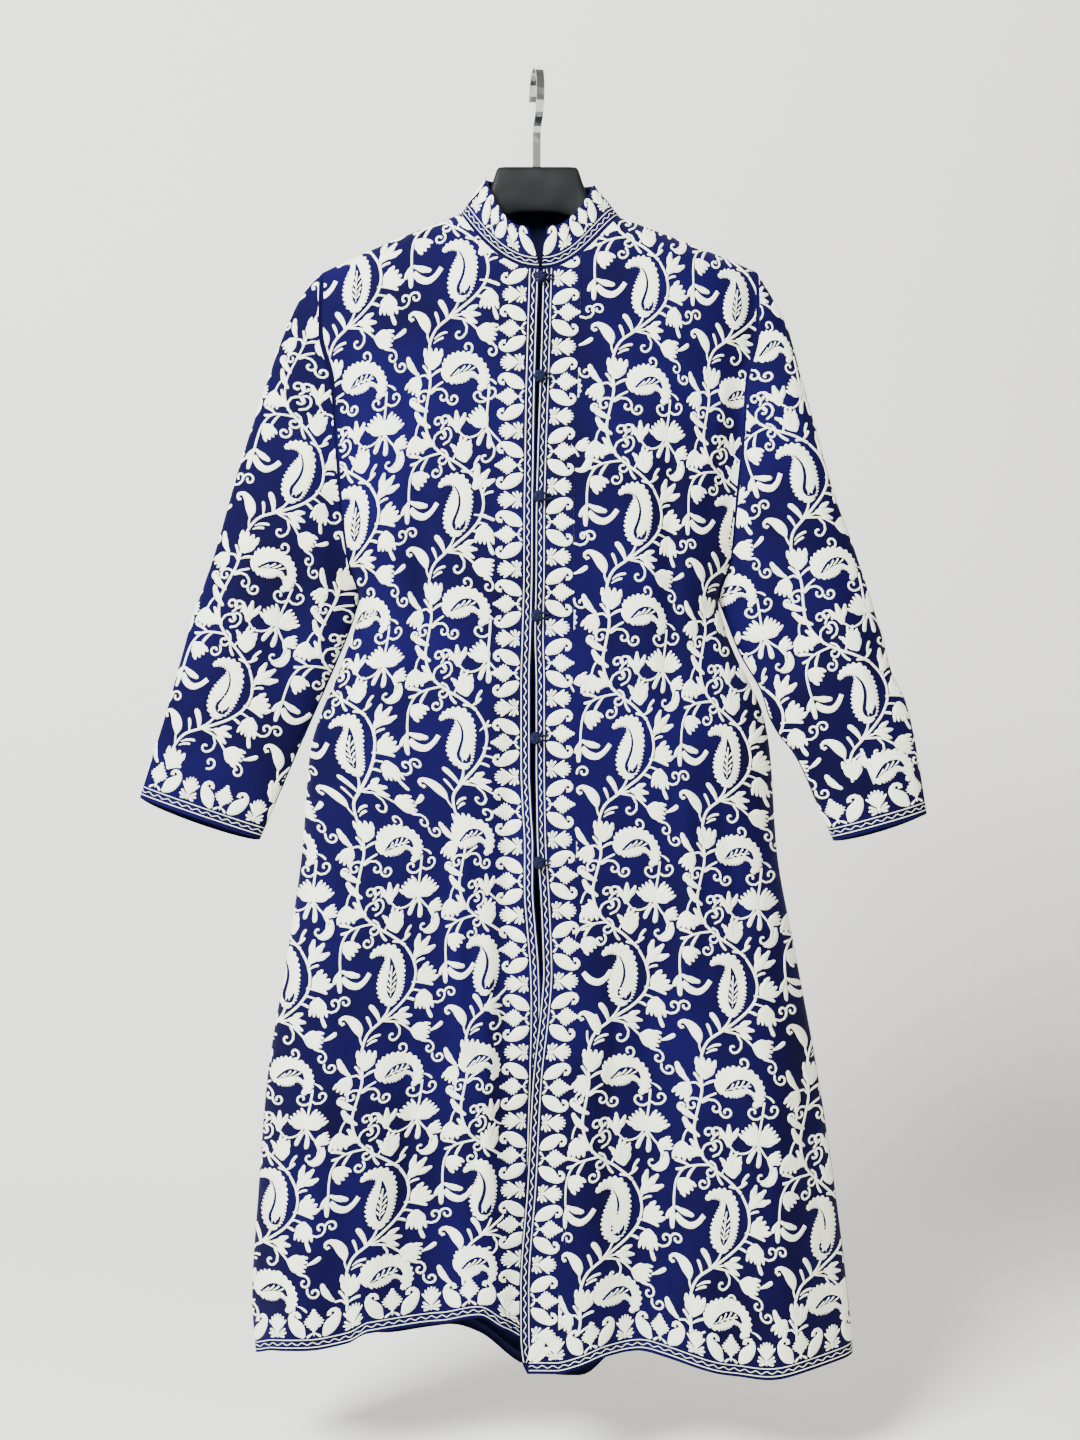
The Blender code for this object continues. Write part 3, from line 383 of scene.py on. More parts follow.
# Base, tip, greatest width, how far the middle bows to the right of the way from base to tip as a
# share of its length, and how pointed the tip is
LEAVES = rows_of(
    Leaf,
    (-30, -82, -47, -99, 7.5, -0.18, 0.4), (18, -33, 4, -37, 2.8, 0.15), (17, -37, 23, -52, 3.2, -0.20),
    (26, -11, 38, -17, 2.6, -0.20), (25, 6, 46, 11, 3.4, -0.10), (15, 22, 26, 25, 3.2, -0.22),
    (-12, 44, -21, 25, 6.2, 0.16), (-21, 50, -25, 36, 3.4, 0.10), (-26, 62, -12, 56, 2.8, -0.20),
    (-27, 66, -16, 61, 2.6, -0.15), (39, 58, 53, 50, 4.8, 0.10), (-43, 96, -55, 77, 8.0, -0.20, 0.4),
    (-32, 99, -39, 86, 3.0, 0.15), (-31, 99, -18, 92, 3.0, -0.15), (-33, 132, -53, 120, 7.5, -0.12, 0.4),
    (28, 152, 20, 168, 5.2, 0.15), (30, 154, 31, 171, 5.6, -0.10), (-25, 168, -35, 160, 3.2, 0.10),
    (-10, 179, -2, 192, 3.0, 0.18), (-30, 176, -38, 190, 3.4, 0.12), (-36, 178, -52, 174, 3.4, 0.10),
    (-38, 179, -50, 183, 3.0, -0.10), (-49, 219, -56, 232, 5.4, 0.05, 0.3),
    (-49, 219, -50, 241, 6.0, 0.05, 0.3), (-48, 219, -29, 225, 7.4, 0.10, 0.4),
    (30, 102, 40, 108, 2.4, -0.2), (-2, 176, -8, 166, 3.2, 0.15), (12, 194, 22, 186, 3.2, 0.15),
    (37, 30, 42, 45, 4.6, 0.05),
)

Curl = namedtuple("Curl", "x0 y0 x1 y1 turns")
# Where each curl starts, the middle that it winds round, and its turns, clockwise if above zero
CURLS = rows_of(
    Curl,
    (-16, -64, -13, -76, -1.1), (-11, -82, -15, -88, -1.2), (-18, -60, -16, -49, 1.15),
    (-19, -44, -22, -37, 1.15), (4, 45, 0, 59, 1.05), (33, 68, 37, 76, 1.10), (40, 81, 47, 86, -1.15),
    (43, 28, 53, 21, -1.15), (57, 23, 64, 20, 1.15), (-31, 115, -17, 119, 1.15), (-13, 121, -6, 122, -1.15),
    (-31, 114, -40, 118, -1.15), (-44, 117, -49, 121, 1.15), (29, 120, 40, 115, -1.10),
    (6, 79, 9, 72, -1.00), (-24, 170, -17, 157, 1.10), (-19, 151, -22, 143, -1.10),
    (29, 122, 19, 119, 1.05), (40, 162, 36, 180, 1.05),
)

Cup = namedtuple("Cup", "x0 y0 x1 y1 width petals")
# Flowers: the base, the middle of the top, the width, and the petals: three are splayed like a lily's,
# and more than five spread like a fan
CUPS = rows_of(
    Cup,
    (-26, -65, -45, -71, 21, 3), (8, -46, 3, -66, 21, 4), (-46, -38, -33, -27, 19, 4),
    (28, -20, 43, -39, 26, 3), (31, 6, 48, -6, 22, 4), (36, 15, 35, 35, 21, 5), (3, 39, 22, 40, 21, 3),
    (19, 55, 39, 60, 22, 5), (-29, 91, -27, 70, 22, 4), (-43, 97, -53, 113, 18, 4),
    (-1, 154, -3, 133, 22, 3), (28, 149, 13, 134, 21, 5), (30, 149, 44, 134, 21, 5),
    (-46, 155, -45, 174, 20, 4), (3, 171, 9, 158, 14, 3), (40, 163, 54, 158, 14, 4),
)

# Curled teardrops: x, y and half width along the middle
COMMAS = (
    ((-33, 56, 1.4), (-34, 50, 4.8), (-37, 43.5, 5.6), (-42, 38, 4.0), (-48, 35.5, 2.0), (-52, 38.5, 1.6),
        (-50, 42.5, 1.5), (-47.5, 41, 1.4)),
    ((-47, 226, 2.8), (-40, 233, 4.0), (-32, 235, 3.6), (-25, 231, 2.8), (-19, 223, 2.6)),
    ((49, 168, 1.2), (49, 176, 3.8), (46, 183, 4.2), (41, 186, 2.6), (36, 185, 1.4)),
)

PAISLEYS = (
    # Toothed teardrops, upright and lying: x, y and half width along the middle
    ((1.0, 28.0, 3.0), (0.5, 23, 9.0), (0.8, 13, 13.6), (3.0, 1, 14.4), (5.6, -11, 12.4),
     (5.6, -20, 9.8), (1.5, -27, 8.0), (-6, -29, 5.8), (-13, -27, 4.2), (-18, -22.5, 2.0)),
    ((-18, 99, 4.0), (-13.5, 97, 11.0), (-5, 93, 15.6), (5, 90.5, 15.4), (14, 91, 12.6),
     (20.5, 95.5, 9.4), (24, 102.5, 6.8), (23.5, 109.5, 4.6), (19, 113.5, 2.2)),
)

HOLLOWS = {
    # Bare ground inside the upright and the lying paisley, for the two kinds of repeat
    "scroll": (
        ((-1.5, -22, 0.6), (2.5, -15.5, 1.1), (4.2, -8, 1.5), (3.4, 0, 1.7), (0.6, 8, 1.8), (-1.5, 14, 2.2),
         (0.2, 19, 2.7), (5, 20.2, 2.5), (9, 16.5, 1.7), (10.6, 11.5, 0.7)),
        ((-10, 100, 0.7), (-4, 96.2, 2.6), (3, 92.6, 4.0), (10, 91.4, 3.9), (16, 93.4, 2.9),
         (19.6, 98.5, 1.2)),
    ),
    "leaf": (
        ((2.6, -21, 0.7), (4.0, -14, 2.5), (4.5, -6, 4.3), (4.0, 2, 5.4), (2.5, 10, 5.2), (1.5, 16, 3.6),
         (1.2, 20, 1.0)),
        ((-9, 101, 0.8), (-4, 97.5, 3.4), (3, 93.6, 5.0), (10, 92.6, 4.6), (16, 94.6, 3.3), (20, 99.5, 1.2)),
    ),
}
# Cream leaves that lie in those hollows: of the upright one, then of the lying one
SPRIGS = {
    "scroll": (
        rows_of(Leaf, (1, 20, 2.5, 13, 2.0, 0.1), (5, 19.5, 6.5, 13, 1.8, -0.1)),
        rows_of(
            Leaf,
            (-7, 99, 0, 93.5, 1.6, 0.1), (-2, 97.5, 6, 90.0, 1.7, 0.1), (4, 95.5, 11.5, 89.4, 1.7, 0.1),
            (10, 94.5, 16.5, 91.0, 1.6, 0.1),
        ),
    ),
    "leaf": (
        rows_of(
            Leaf,
            (1.3, 18, 4.0, -13, 1.5), (1.6, 15, 6.0, 9.5, 1.8, 0.1), (1.8, 15, -1.6, 9.5, 1.8, -0.1),
            (2.4, 10, 7.6, 4.0, 1.8, 0.1), (2.4, 10, -0.8, 4.0, 1.8, -0.1), (3.2, 4.5, 8.4, -2, 1.8, 0.1),
            (3.2, 4.5, 0.2, -2, 1.8, -0.1), (3.8, -2, 8.0, -8, 1.7, 0.1), (3.8, -2, 1.4, -8, 1.7, -0.1),
        ),
        rows_of(
            Leaf,
            (-8, 100.5, 16, 94.0, 1.4, -0.12), (-4, 98, -1, 93.0, 1.8, 0.1), (-4, 98, 1, 99.0, 1.8, -0.1),
            (1, 95.6, 4, 90.0, 1.8, 0.1), (1, 95.6, 7, 97.6, 1.8, -0.1), (6, 94, 9.5, 89.0, 1.8, 0.1),
            (6, 94, 12.5, 96.8, 1.8, -0.1), (11, 93.4, 14.6, 90.4, 1.8, 0.1),
        ),
    ),
}

BORDER_BODIES = (
    # Bodies of the flower border: its lotus, by x along the border, y away from its edge and half width
    ((0, 18.5, 1.2), (0, 21, 4.4), (0, 25, 8.6), (0, 28, 9.2), (0, 31.5, 6.6), (0, 36, 3.2), (0, 40, 1.0)),
)
# Its fan flower, leaves and commas
BORDER_CUPS = rows_of(Cup, (35.5, 18.5, 35.5, 36.5, 19, 7))
BORDER_LEAVES = rows_of(
    Leaf,
    (0, 13, 0, 20.5, 2.8), (0.5, 16, 6.5, 11.6, 2.5, 0.1), (-0.5, 16, -6.5, 11.6, 2.5, -0.1),
    (35.5, 12.5, 35.5, 20.5, 2.8), (34.6, 16.5, 27.6, 21.5, 2.6, 0.08), (34.4, 15.2, 26.4, 17.4, 2.6, 0.05),
    (34.8, 14.2, 28.2, 13.0, 2.4), (36.4, 16.5, 43.4, 21.5, 2.6, -0.08),
    (36.6, 15.2, 44.6, 17.4, 2.6, -0.05), (36.2, 14.2, 42.8, 13.0, 2.4),
)
BORDER_COMMAS = (
    ((8.8, 12.4, 1.6), (12.4, 16.6, 5.4), (15.8, 22, 6.8), (20.0, 28, 5.0), (21.6, 33.2, 2.8),
        (18.2, 36.6, 2.0), (14.2, 35.2, 1.8), (14.0, 31.6, 2.3)),
    ((62.2, 12.4, 1.6), (58.6, 16.6, 5.4), (55.2, 22, 6.8), (51.0, 28, 5.0), (49.4, 33.2, 2.8),
        (52.8, 36.6, 2.0), (56.8, 35.2, 1.8), (57.0, 31.6, 2.3)),
)

Warp = namedtuple("Warp", "drop a b c")
# Where the pattern's columns lie across each panel, from the middle, as folds and darts take cloth up
WARPS = {
    "front_right": rows_of(
        Warp,
        (0.20, 80, 188, 297), (0.33, 81, 184, 293), (0.46, 84, 189, 298), (0.56, 78, 176, 284),
        (0.69, 84, 196, 305), (0.79, 48, 145, 254), (0.92, 48, 153, 262), (1.02, 46, 146, 256),
        (1.16, 48, 160, 270), (1.32, 48, 162, 274),
    ),
    "front_left": rows_of(
        Warp,
        (0.20, 106, 199, 307), (0.34, 104, 196, 304), (0.46, 97, 192, 301), (0.57, 99, 194, 303),
        (0.70, 87, 184, 293), (0.80, 94, 196, 305), (0.92, 79, 187, 296), (1.04, 80, 192, 301),
        (1.18, 72, 182, 286), (1.32, 70, 180, 284),
    ),
}
WARP_COLUMNS = (0.0, 37.0, 82.0, 191.0, 300.0, 409.0)
FIRST_COLUMN = 12.0
ROWS = {
    # Drops of the upright paisleys' middles down the first column, and of the rows above and below
    "front_right": (-20.0, 219.0, 459.0, 689.0, 917.0, 1140.0, 1368.0, 1598.0),
    "front_left": (4.0, 234.0, 462.0, 697.0, 922.0, 1159.0, 1390.0, 1620.0),
    "back": (0.0, 230.0, 460.0, 690.0, 920.0, 1150.0, 1380.0, 1610.0),
}
SAG = {"front_right": 0.06, "front_left": 0.11, "back": 0.0}
SLEEVE_ANCHORS = {"right": (-245.0, 421.0, 18.6), "left": (263.0, 421.0, -15.5)}
SLEEVE_RIM_RADIUS = 12.0
COLLAR_EDGE = 0.4


# Curves, lines and directions


def column(table, name):
    """One named column of a table of rows, as an array."""
    return np.array([getattr(row, name) for row in table])


def cubic(t, run, start, end, slope_start, slope_end):
    """A cubic over a run from its values and slopes at both ends, where t goes from 0 to 1."""
    first = start * (1 + 2 * t) * (1 - t) ** 2 + slope_start * run * t * (1 - t) ** 2
    last = end * t * t * (3 - 2 * t) - slope_end * run * t * t * (1 - t)
    return first + last


def smooth_between(keys, values, at):
    """A smooth curve through values at the keys, which never overshoots, read at the given places.

    Between two keys it is a cubic. Its slope at a key is the harmonic mean of the straight slopes on
    each side, and zero at a turning point. Values may also hold one whole row of places for each key.
    """
    keys = np.asarray(keys, float)
    values = np.asarray(values, float)
    at = np.clip(np.asarray(at, float), keys[0], keys[-1])
    runs = np.diff(keys)
    slopes = np.diff(values, axis=0) / runs.reshape((-1,) + (1,) * (values.ndim - 1))
    before, after = slopes[:-1], slopes[1:]
    same_way = before * after > 0
    total = np.where(same_way, before + after, 1.0)
    inner = np.where(same_way, 2 * before * after / total, 0.0)
    tangents = np.concatenate([slopes[:1], inner, slopes[-1:]])
    i = np.clip(np.searchsorted(keys, at) - 1, 0, len(runs) - 1)
    t = (at - keys[i]) / runs[i]

    def pick(table, index):
        if values.ndim == 1:
            return table[index]
        return np.take_along_axis(table, index[None], axis=0)[0]

    return cubic(t, runs[i], pick(values, i), pick(values, i + 1), pick(tangents, i), pick(tangents, i + 1))


def smooth_curve(table, name, at):
    """The smooth curve through one column of a table, whose first column has the keys."""
    return smooth_between(column(table, table[0]._fields[0]), column(table, name), at)


def run_along(points):
    """How far along a line each of its points lies."""
    return np.concatenate([[0.0], np.cumsum(np.linalg.norm(np.diff(points, axis=0), axis=1))])


def unit(vectors):
    """The vectors brought to length 1."""
    return vectors / np.maximum(np.linalg.norm(vectors, axis=-1, keepdims=True), 1e-12)


def whole_turn(count):
    """Evenly spaced angles once round."""
    return np.linspace(0, 2 * math.pi, count + 1)[:-1]


def ease(t):
    """Rises smoothly from 0 to 1 as t goes from 0 to 1."""
    t = np.clip(t, 0.0, 1.0)
    return t * t * (3 - 2 * t)


def bell(t):
    """A soft hump of height 1 at t = 0."""
    return np.exp(-t * t)


# Which way a side lies along x, and which way a panel faces along y
SIGNS = {"right": -1.0, "left": 1.0}
OUTWARDS = {"front_right": -1.0, "front_left": -1.0, "back": 1.0}


def sided(panel):
    """The side of a front and its sign."""
    side = panel.removeprefix("front_")
    return side, SIGNS[side]


# The body's surfaces


def neckline(sine, side, is_front):
    """Drop of the neckline where the angle round the neck has this sine."""
    neck = NECKS[side]
    low = FRONT_NECK_DROP if is_front else BACK_NECK_DROP
    return neck.point_drop + (low - neck.point_drop) * sine ** (neck.curve if is_front else 1.0)


def top_edge(share, side, is_front):
    """Drop and depth of a panel's top edge: the neckline, then the sloping shoulder seam."""
    start = NECK_HALF_WIDTH / SHOULDER_HALF_WIDTH
    sine = np.sin(np.arccos(np.clip(share / start, 0, 1)))
    depth = (NECK_FRONT_DEPTH if is_front else NECK_BACK_DEPTH) * sine
    run = np.clip((share - start) / (1 - start), 0, 1)
    fall = SHOULDER_TIP_DROP - NECKS[side].point_drop
    shoulder_drop = NECKS[side].point_drop + fall * (0.94 * run + 0.06 * run**3)
    in_neck = share < start
    return np.where(in_neck, neckline(sine, side, is_front), shoulder_drop), np.where(in_neck, depth, 0.0)


def panel_top(panel, share):
    """Drop and depth of the panel's top edge, each half of the back with its own side's neck."""
    if panel != "back":
        return top_edge(np.abs(share), sided(panel)[0], True)
    right, left = (top_edge(np.abs(share), side, False) for side in ("right", "left"))
    return tuple(np.where(share < 0, r, l) for r, l in zip(right, left))


def armhole_depth(drop):
    """Half depth of the armhole: half an ellipse from the shoulder tip to the underarm."""
    middle = (SHOULDER_TIP_DROP + UNDERARM_DROP) / 2
    half = (UNDERARM_DROP - SHOULDER_TIP_DROP) / 2
    return ARMHOLE_HALF_DEPTH * np.sqrt(np.clip(1 - ((drop - middle) / half) ** 2, 0, None))


def fold_height(panel, x, drop):
    """How far folds, darts and fine creases move the cloth out.

    A fold is a bell across it that eases in down the panel. A fine crease is a bell round the straight
    line between its two ends, fading out towards both.
    """
    total = np.zeros(np.broadcast(x, drop).shape)
    down = np.clip((drop - FOLD_TOP_DROP) / (SIDES[-1].drop - FOLD_TOP_DROP), 0, 1)
    for fold in FOLDS[panel]:
        middle = fold.x_top + (fold.x_hem - fold.x_top) * down
        rise = ease((drop - fold.start) / (fold.full - fold.start))
        total += fold.out * rise * bell((x - middle) / fold.width)
    for dart in DARTS[panel]:
        along = np.clip((drop - dart.start) / (dart.end - dart.start), 0, 1)
        total -= dart.deep * np.sin(math.pi * along) * bell((x - dart.x) / dart.width)
    for line in WRINKLES[panel]:
        run_x, run_drop = line.x1 - line.x0, line.drop1 - line.drop0
        length = math.hypot(run_x, run_drop)
        along = ((x - line.x0) * run_x + (drop - line.drop0) * run_drop) / length**2
        away = ((x - line.x0) * run_drop - (drop - line.drop0) * run_x) / length
        drift = 0.35 * line.width * np.sin(9 * along + 40 * line.x0)
        fade = ease(along / 0.3) * ease((1 - along) / 0.4)
        total += line.out * fade * bell((away + drift) / line.width) * CREASE_SHARE
    if panel == "front_right":
        inwards = ease((x - STEP_X) / STEP_WIDTH) * ease((drop - STEP_START) / (STEP_FULL - STEP_START))
        total -= STEP_DEEP * inwards
    return total


def panel_x(panel, share, drop):
    """Across the garment at a drop: a straight run from the front edge or middle to the side seam."""
    if panel == "back":
        right = smooth_curve(SIDES, "right", drop)
        left = smooth_curve(SIDES, "left", drop)
        return np.where(share < 0, right, left) * share
    side, sign = sided(panel)
    edge = smooth_curve(FRONT_EDGES, side, drop)
    return edge * (1 - share) + sign * smooth_curve(SIDES, side, drop) * share


def panel_share(panel, x, drop):
    """The share of the panel's width at a place: the inverse of panel_x."""
    if panel == "back":
        right = smooth_curve(SIDES, "right", drop)
        left = smooth_curve(SIDES, "left", drop)
        return x / np.where(x < 0, right, left)
    side, sign = sided(panel)
    edge = smooth_curve(FRONT_EDGES, side, drop)
    return (x - edge) / (sign * smooth_curve(SIDES, side, drop) - edge)


def panel_face(panel, x, drop):
    """Points of the panel's outer face.

    The body's full depth rounds over into the top edge, meets the armhole's depth in a soft corner (a
    root of summed cubes), and carries the folds, which fade at the side seam.
    """
    share = panel_share(panel, x, drop)
    near_side = np.clip(np.abs(share), 0, 1)
    if panel != "back":
        half = smooth_curve(SIDES, sided(panel)[0], drop)
        near_side = np.clip(np.abs(x) / half, 0, 1)
    top, top_depth = panel_top(panel, share)
    full = smooth_curve(DEPTHS, "back" if panel == "back" else "front", drop)
    bulge = np.sqrt(1 - near_side**SIDE_FULLNESS)
    folds = fold_height(panel, x, drop) * ease((1 - near_side) / 0.12)
    t = np.clip((drop - top) / SHOULDER_ROUND, 0, 1)
    over = 1 - np.sqrt(1 - (1 - t) ** 2)
    body = full * bulge * (1 - over)
    at_arm = armhole_depth(drop) * near_side**6
    depth = (body**3 + at_arm**3) ** (1 / 3) + folds + top_depth * over
    depth = np.where(depth < SEAM_GAP / 2, SEAM_GAP / 2, depth)
    return np.stack([x + CENTRE_X, depth if panel == "back" else -depth, -drop], axis=-1)


def hem_drop(panel, x):
    """Drop of the panel's hem at x."""
    return smooth_curve(HEMS[panel], "drop", x)


def panel_grid(panel):
    """Places of the panel's fine grid: x and drop for each row and column.

    Above the underarm the rows are spaced as the cosine of an even angle, so that at the side they fall
    on the armhole's ellipse; below it they are even.
    """
    neck = NECK_HALF_WIDTH / SHOULDER_HALF_WIDTH
    width = SIDES[-1].left
    under = max(8, round(neck * width / COLUMN_STEP * 1.2))
    beyond = round((1 - neck) * width / COLUMN_STEP)
    angles = np.linspace(math.pi / 2, 0, under + 1)
    shoulder = 1 - (1 - np.linspace(0, 1, beyond + 1)[1:]) ** 1.25
    shares = np.concatenate([np.cos(angles) * neck, neck + (1 - neck) * shoulder])
    if panel == "back":
        shares = np.concatenate([-shares[:0:-1], shares])
    top = panel_top(panel, shares)[0]
    hem = hem_drop(panel, panel_x(panel, shares, np.full(len(shares), SIDES[-1].drop)))
    rows = round((UNDERARM_DROP - FRONT_NECK_DROP) / ROW_STEP * 1.3)
    upper = (1 - np.cos(np.linspace(0, math.pi, rows + 1))) / 2
    lower = np.linspace(0, 1, round((SIDES[-1].drop - UNDERARM_DROP) / ROW_STEP) + 1)[1:]
    drops = np.concatenate(
        [top + (UNDERARM_DROP - top) * upper[:, None], UNDERARM_DROP + (hem - UNDERARM_DROP) * lower[:, None]]
    )
    return panel_x(panel, np.broadcast_to(shares, drops.shape), drops), drops


# The sleeves' and collar's surfaces


def sleeve_edges(side, along):
    """The sleeve's outer and inner outline at a share of their drops: signed x and drop of each."""
    ends = []
    for edge in ("outer", "inner"):
        table = SLEEVE_OUTLINES[side][edge]
        drop = table[0].drop + (table[-1].drop - table[0].drop) * along
        ends.append((SIGNS[side] * smooth_curve(table, "x", drop), drop))
    return ends


def sleeve_base(side, along, angle):
    """A ring of the sleeve as a flattened ellipse between its two outlines, with its creases."""
    (outer_x, outer_drop), (inner_x, inner_drop) = sleeve_edges(side, along)
    half_depth = smooth_curve(SLEEVE_DEPTHS, side, along)
    forward = smooth_curve(SLEEVE_DEPTHS, "forward", along)
    swell = np.zeros(np.broadcast(along, angle).shape)
    for crease in SLEEVE_CREASES[side]:
        across = (angle / math.pi - crease.around) / crease.width
        swell += crease.out * bell((along - crease.along) / crease.length) * bell(across)
    lift, turn = np.sin(angle), np.cos(angle)
    x = (outer_x + inner_x) / 2 + (outer_x - inner_x) / 2 * turn
    drop = (outer_drop + inner_drop) / 2 + (outer_drop - inner_drop) / 2 * turn
    y = -half_depth * np.sign(lift) * np.abs(lift) ** SLEEVE_FLATNESS - forward - swell * lift
    z = -drop - SLEEVE_BACK_LONGER * np.clip(-lift, 0, 1) * along**3
    return np.stack([x, y, z], axis=-1)


def armhole_ring(side, angle):
    """The armhole: half width of the body at each drop, and the armhole's half depth before and behind."""
    drop = SHOULDER_TIP_DROP + (UNDERARM_DROP - SHOULDER_TIP_DROP) * (1 - np.cos(angle)) / 2
    x = SIGNS[side] * (smooth_curve(SIDES, side, drop) + SEAM_GAP)
    return np.stack([x, -np.sign(np.sin(angle)) * armhole_depth(drop), -drop], axis=-1)


def sleeve_face(side, along, angle):
    """Points of the sleeve's outer face: its rings, blended into the armhole near the shoulder."""
    along, angle = np.broadcast_arrays(along, angle)
    blend = (1 - ease(along / SLEEVE_BLEND))[..., None]
    shift = armhole_ring(side, angle) - sleeve_base(side, np.zeros_like(along), angle)
    points = sleeve_base(side, along, angle) + shift * blend
    return points + np.array([CENTRE_X, 0.0, 0.0])


def collar_face(turn, share):
    """Points of the collar's outer face: share 0 at its top, 1 at the neckline."""
    sine, cosine = np.sin(turn), np.cos(turn)
    is_front, at_right = sine < 0, turn > math.pi / 2
    front = np.where(is_front, -sine, 0)
    edge = np.where(turn < math.pi / 2, FRONT_EDGES[0].left, FRONT_EDGES[0].right)
    width = np.abs(cosine) * NECK_HALF_WIDTH / SHOULDER_HALF_WIDTH
    base_x = np.where(is_front, edge * (1 - width), 0) + np.sign(cosine) * width * SHOULDER_HALF_WIDTH
    height = np.abs(sine)
    drops = [np.where(is_front, neckline(height, side, True), neckline(height, side, False))
             for side in NECKS]
    base_drop = np.where(at_right, *drops)
    base_y = np.where(is_front, NECK_FRONT_DEPTH, NECK_BACK_DEPTH) * sine
    end_x = np.where(at_right, COLLAR_END_RIGHT, COLLAR_END_LEFT) * front**3
    top_x = COLLAR_TOP_HALF_WIDTH * cosine + end_x
    top_y = np.where(is_front, COLLAR_TOP_FRONT_DEPTH, COLLAR_TOP_BACK_DEPTH) * sine
    side_top = np.interp(-cosine, [-1, 1], [NECKS["left"].collar_top_drop, NECKS["right"].collar_top_drop])
    top_drop = side_top + (COLLAR_FRONT_DROP - side_top) * front**COLLAR_TOP_CURVE
    base = np.stack([base_x, base_y, -base_drop], axis=-1)
    top = np.stack([top_x, top_y, -top_drop], axis=-1)
    base = base + unit(top - base) * COLLAR_BASE_GAP
    share = np.asarray(share)[..., None]
    return top * (1 - share) + base * share + np.array([CENTRE_X, 0.0, 0.0])


# Meshes


def grid_normals(points, towards):
    """Unit normals of a grid of points from its row and column differences.

    They are turned towards the given direction, or away from the grid's own middle line if it is None.
    """
    normals = unit(np.cross(np.gradient(points, axis=0), np.gradient(points, axis=1)))
    if towards is None:
        towards = points - points.mean(axis=1, keepdims=True)
    return normals * np.where((normals * towards).sum() < 0, -1.0, 1.0)


def grid_quads(rows, columns, wrap):
    """Corner numbers of a grid's quads, joined round if wrap is set."""
    r, c = np.meshgrid(np.arange(rows - 1), np.arange(columns if wrap else columns - 1), indexing="ij")
    a = r * columns + c
    b = r * columns + (c + 1) % columns
    return np.stack([a, b, b + columns, a + columns], axis=-1).reshape(-1, 4)


def make_mesh(name, points, quads, materials, finish=None, uv=None):
    """An object at the origin from arrays of points and quads, each quad with its material's number."""
    mesh = bpy.data.meshes.new(name)
    mesh.vertices.add(len(points))
    mesh.vertices.foreach_set("co", np.ascontiguousarray(points, np.float32).ravel())
    mesh.loops.add(quads.size)
    mesh.loops.foreach_set("vertex_index", quads.astype(np.int32).ravel())
    mesh.polygons.add(len(quads))
    mesh.polygons.foreach_set("loop_start", np.arange(0, quads.size, 4, dtype=np.int32))
    mesh.update(calc_edges=True)
    for item in materials:
        mesh.materials.append(item)
    if finish is not None:
        mesh.polygons.foreach_set("material_index", finish.astype(np.int32))
    if uv is not None:
        layer = mesh.uv_layers.new(name="UVMap")
        layer.data.foreach_set("uv", uv[quads.ravel()].astype(np.float32).ravel())
    mesh.shade_smooth()
    mesh.validate()
    made = bpy.data.objects.new(name, mesh)
    bpy.context.scene.collection.objects.link(made)
    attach(made, "root")
    return made


def make_shell(name, outer, towards, thick, materials, wrap=False, rim_finish=0):
    """A cloth shell: the outer face, an inner face moved in along the normals, and the rims between.

    The inner face has the second finish, and the rims have the first unless told otherwise.
    """
    rows, columns = outer.shape[:2]
    if wrap:
        padded = np.concatenate([outer[:, -1:], outer, outer[:, :1]], axis=1)
        normals = grid_normals(padded, None)[:, 1:-1]
    else:
        normals = grid_normals(outer, towards)
    inner = outer - normals * thick
    points = np.concatenate([outer.reshape(-1, 3), inner.reshape(-1, 3)])
    count = rows * columns
    quads = grid_quads(rows, columns, wrap)
    faces = [quads, quads[:, ::-1] + count]
    rims = [np.arange(columns), np.arange(count - columns, count)]
    if not wrap:
        rims += [np.arange(0, count, columns), np.arange(columns - 1, count, columns)]
    for rim in rims:
        ends = np.stack([rim, np.roll(rim, -1)], axis=-1)
        ends = ends if wrap else ends[:-1]
        faces.append(np.stack([ends[:, 0], ends[:, 0] + count, ends[:, 1] + count, ends[:, 1]], axis=-1))
    finish = np.concatenate(
        [np.zeros(len(quads)), np.ones(len(quads)),
         np.full(sum(len(face) for face in faces[2:]), rim_finish)]
    )
    return make_mesh(name, points, np.concatenate(faces), materials, finish)


# The embroidery's strokes


def smooth_path(points, step):
    """A smooth curve through points of any number of columns, at places about a step apart.

    It is a cubic in the run along the points whose slope at each is that of the line between its
    neighbours.
    """
    points = np.asarray(points, float)
    runs = np.linalg.norm(np.diff(points[:, :2], axis=0), axis=1)
    keys = np.concatenate([[0.0], np.cumsum(runs)])
    slopes = np.gradient(points, keys, axis=0)
    at = np.linspace(0, keys[-1], max(3, math.ceil(keys[-1] / step)) + 1)
    i = np.clip(np.searchsorted(keys, at) - 1, 0, len(runs) - 1)
    run = runs[i, None]
    return cubic((at - keys[i])[:, None] / run, run, points[i], points[i + 1], slopes[i], slopes[i + 1])


Stroke = namedtuple("Stroke", "line half flute")


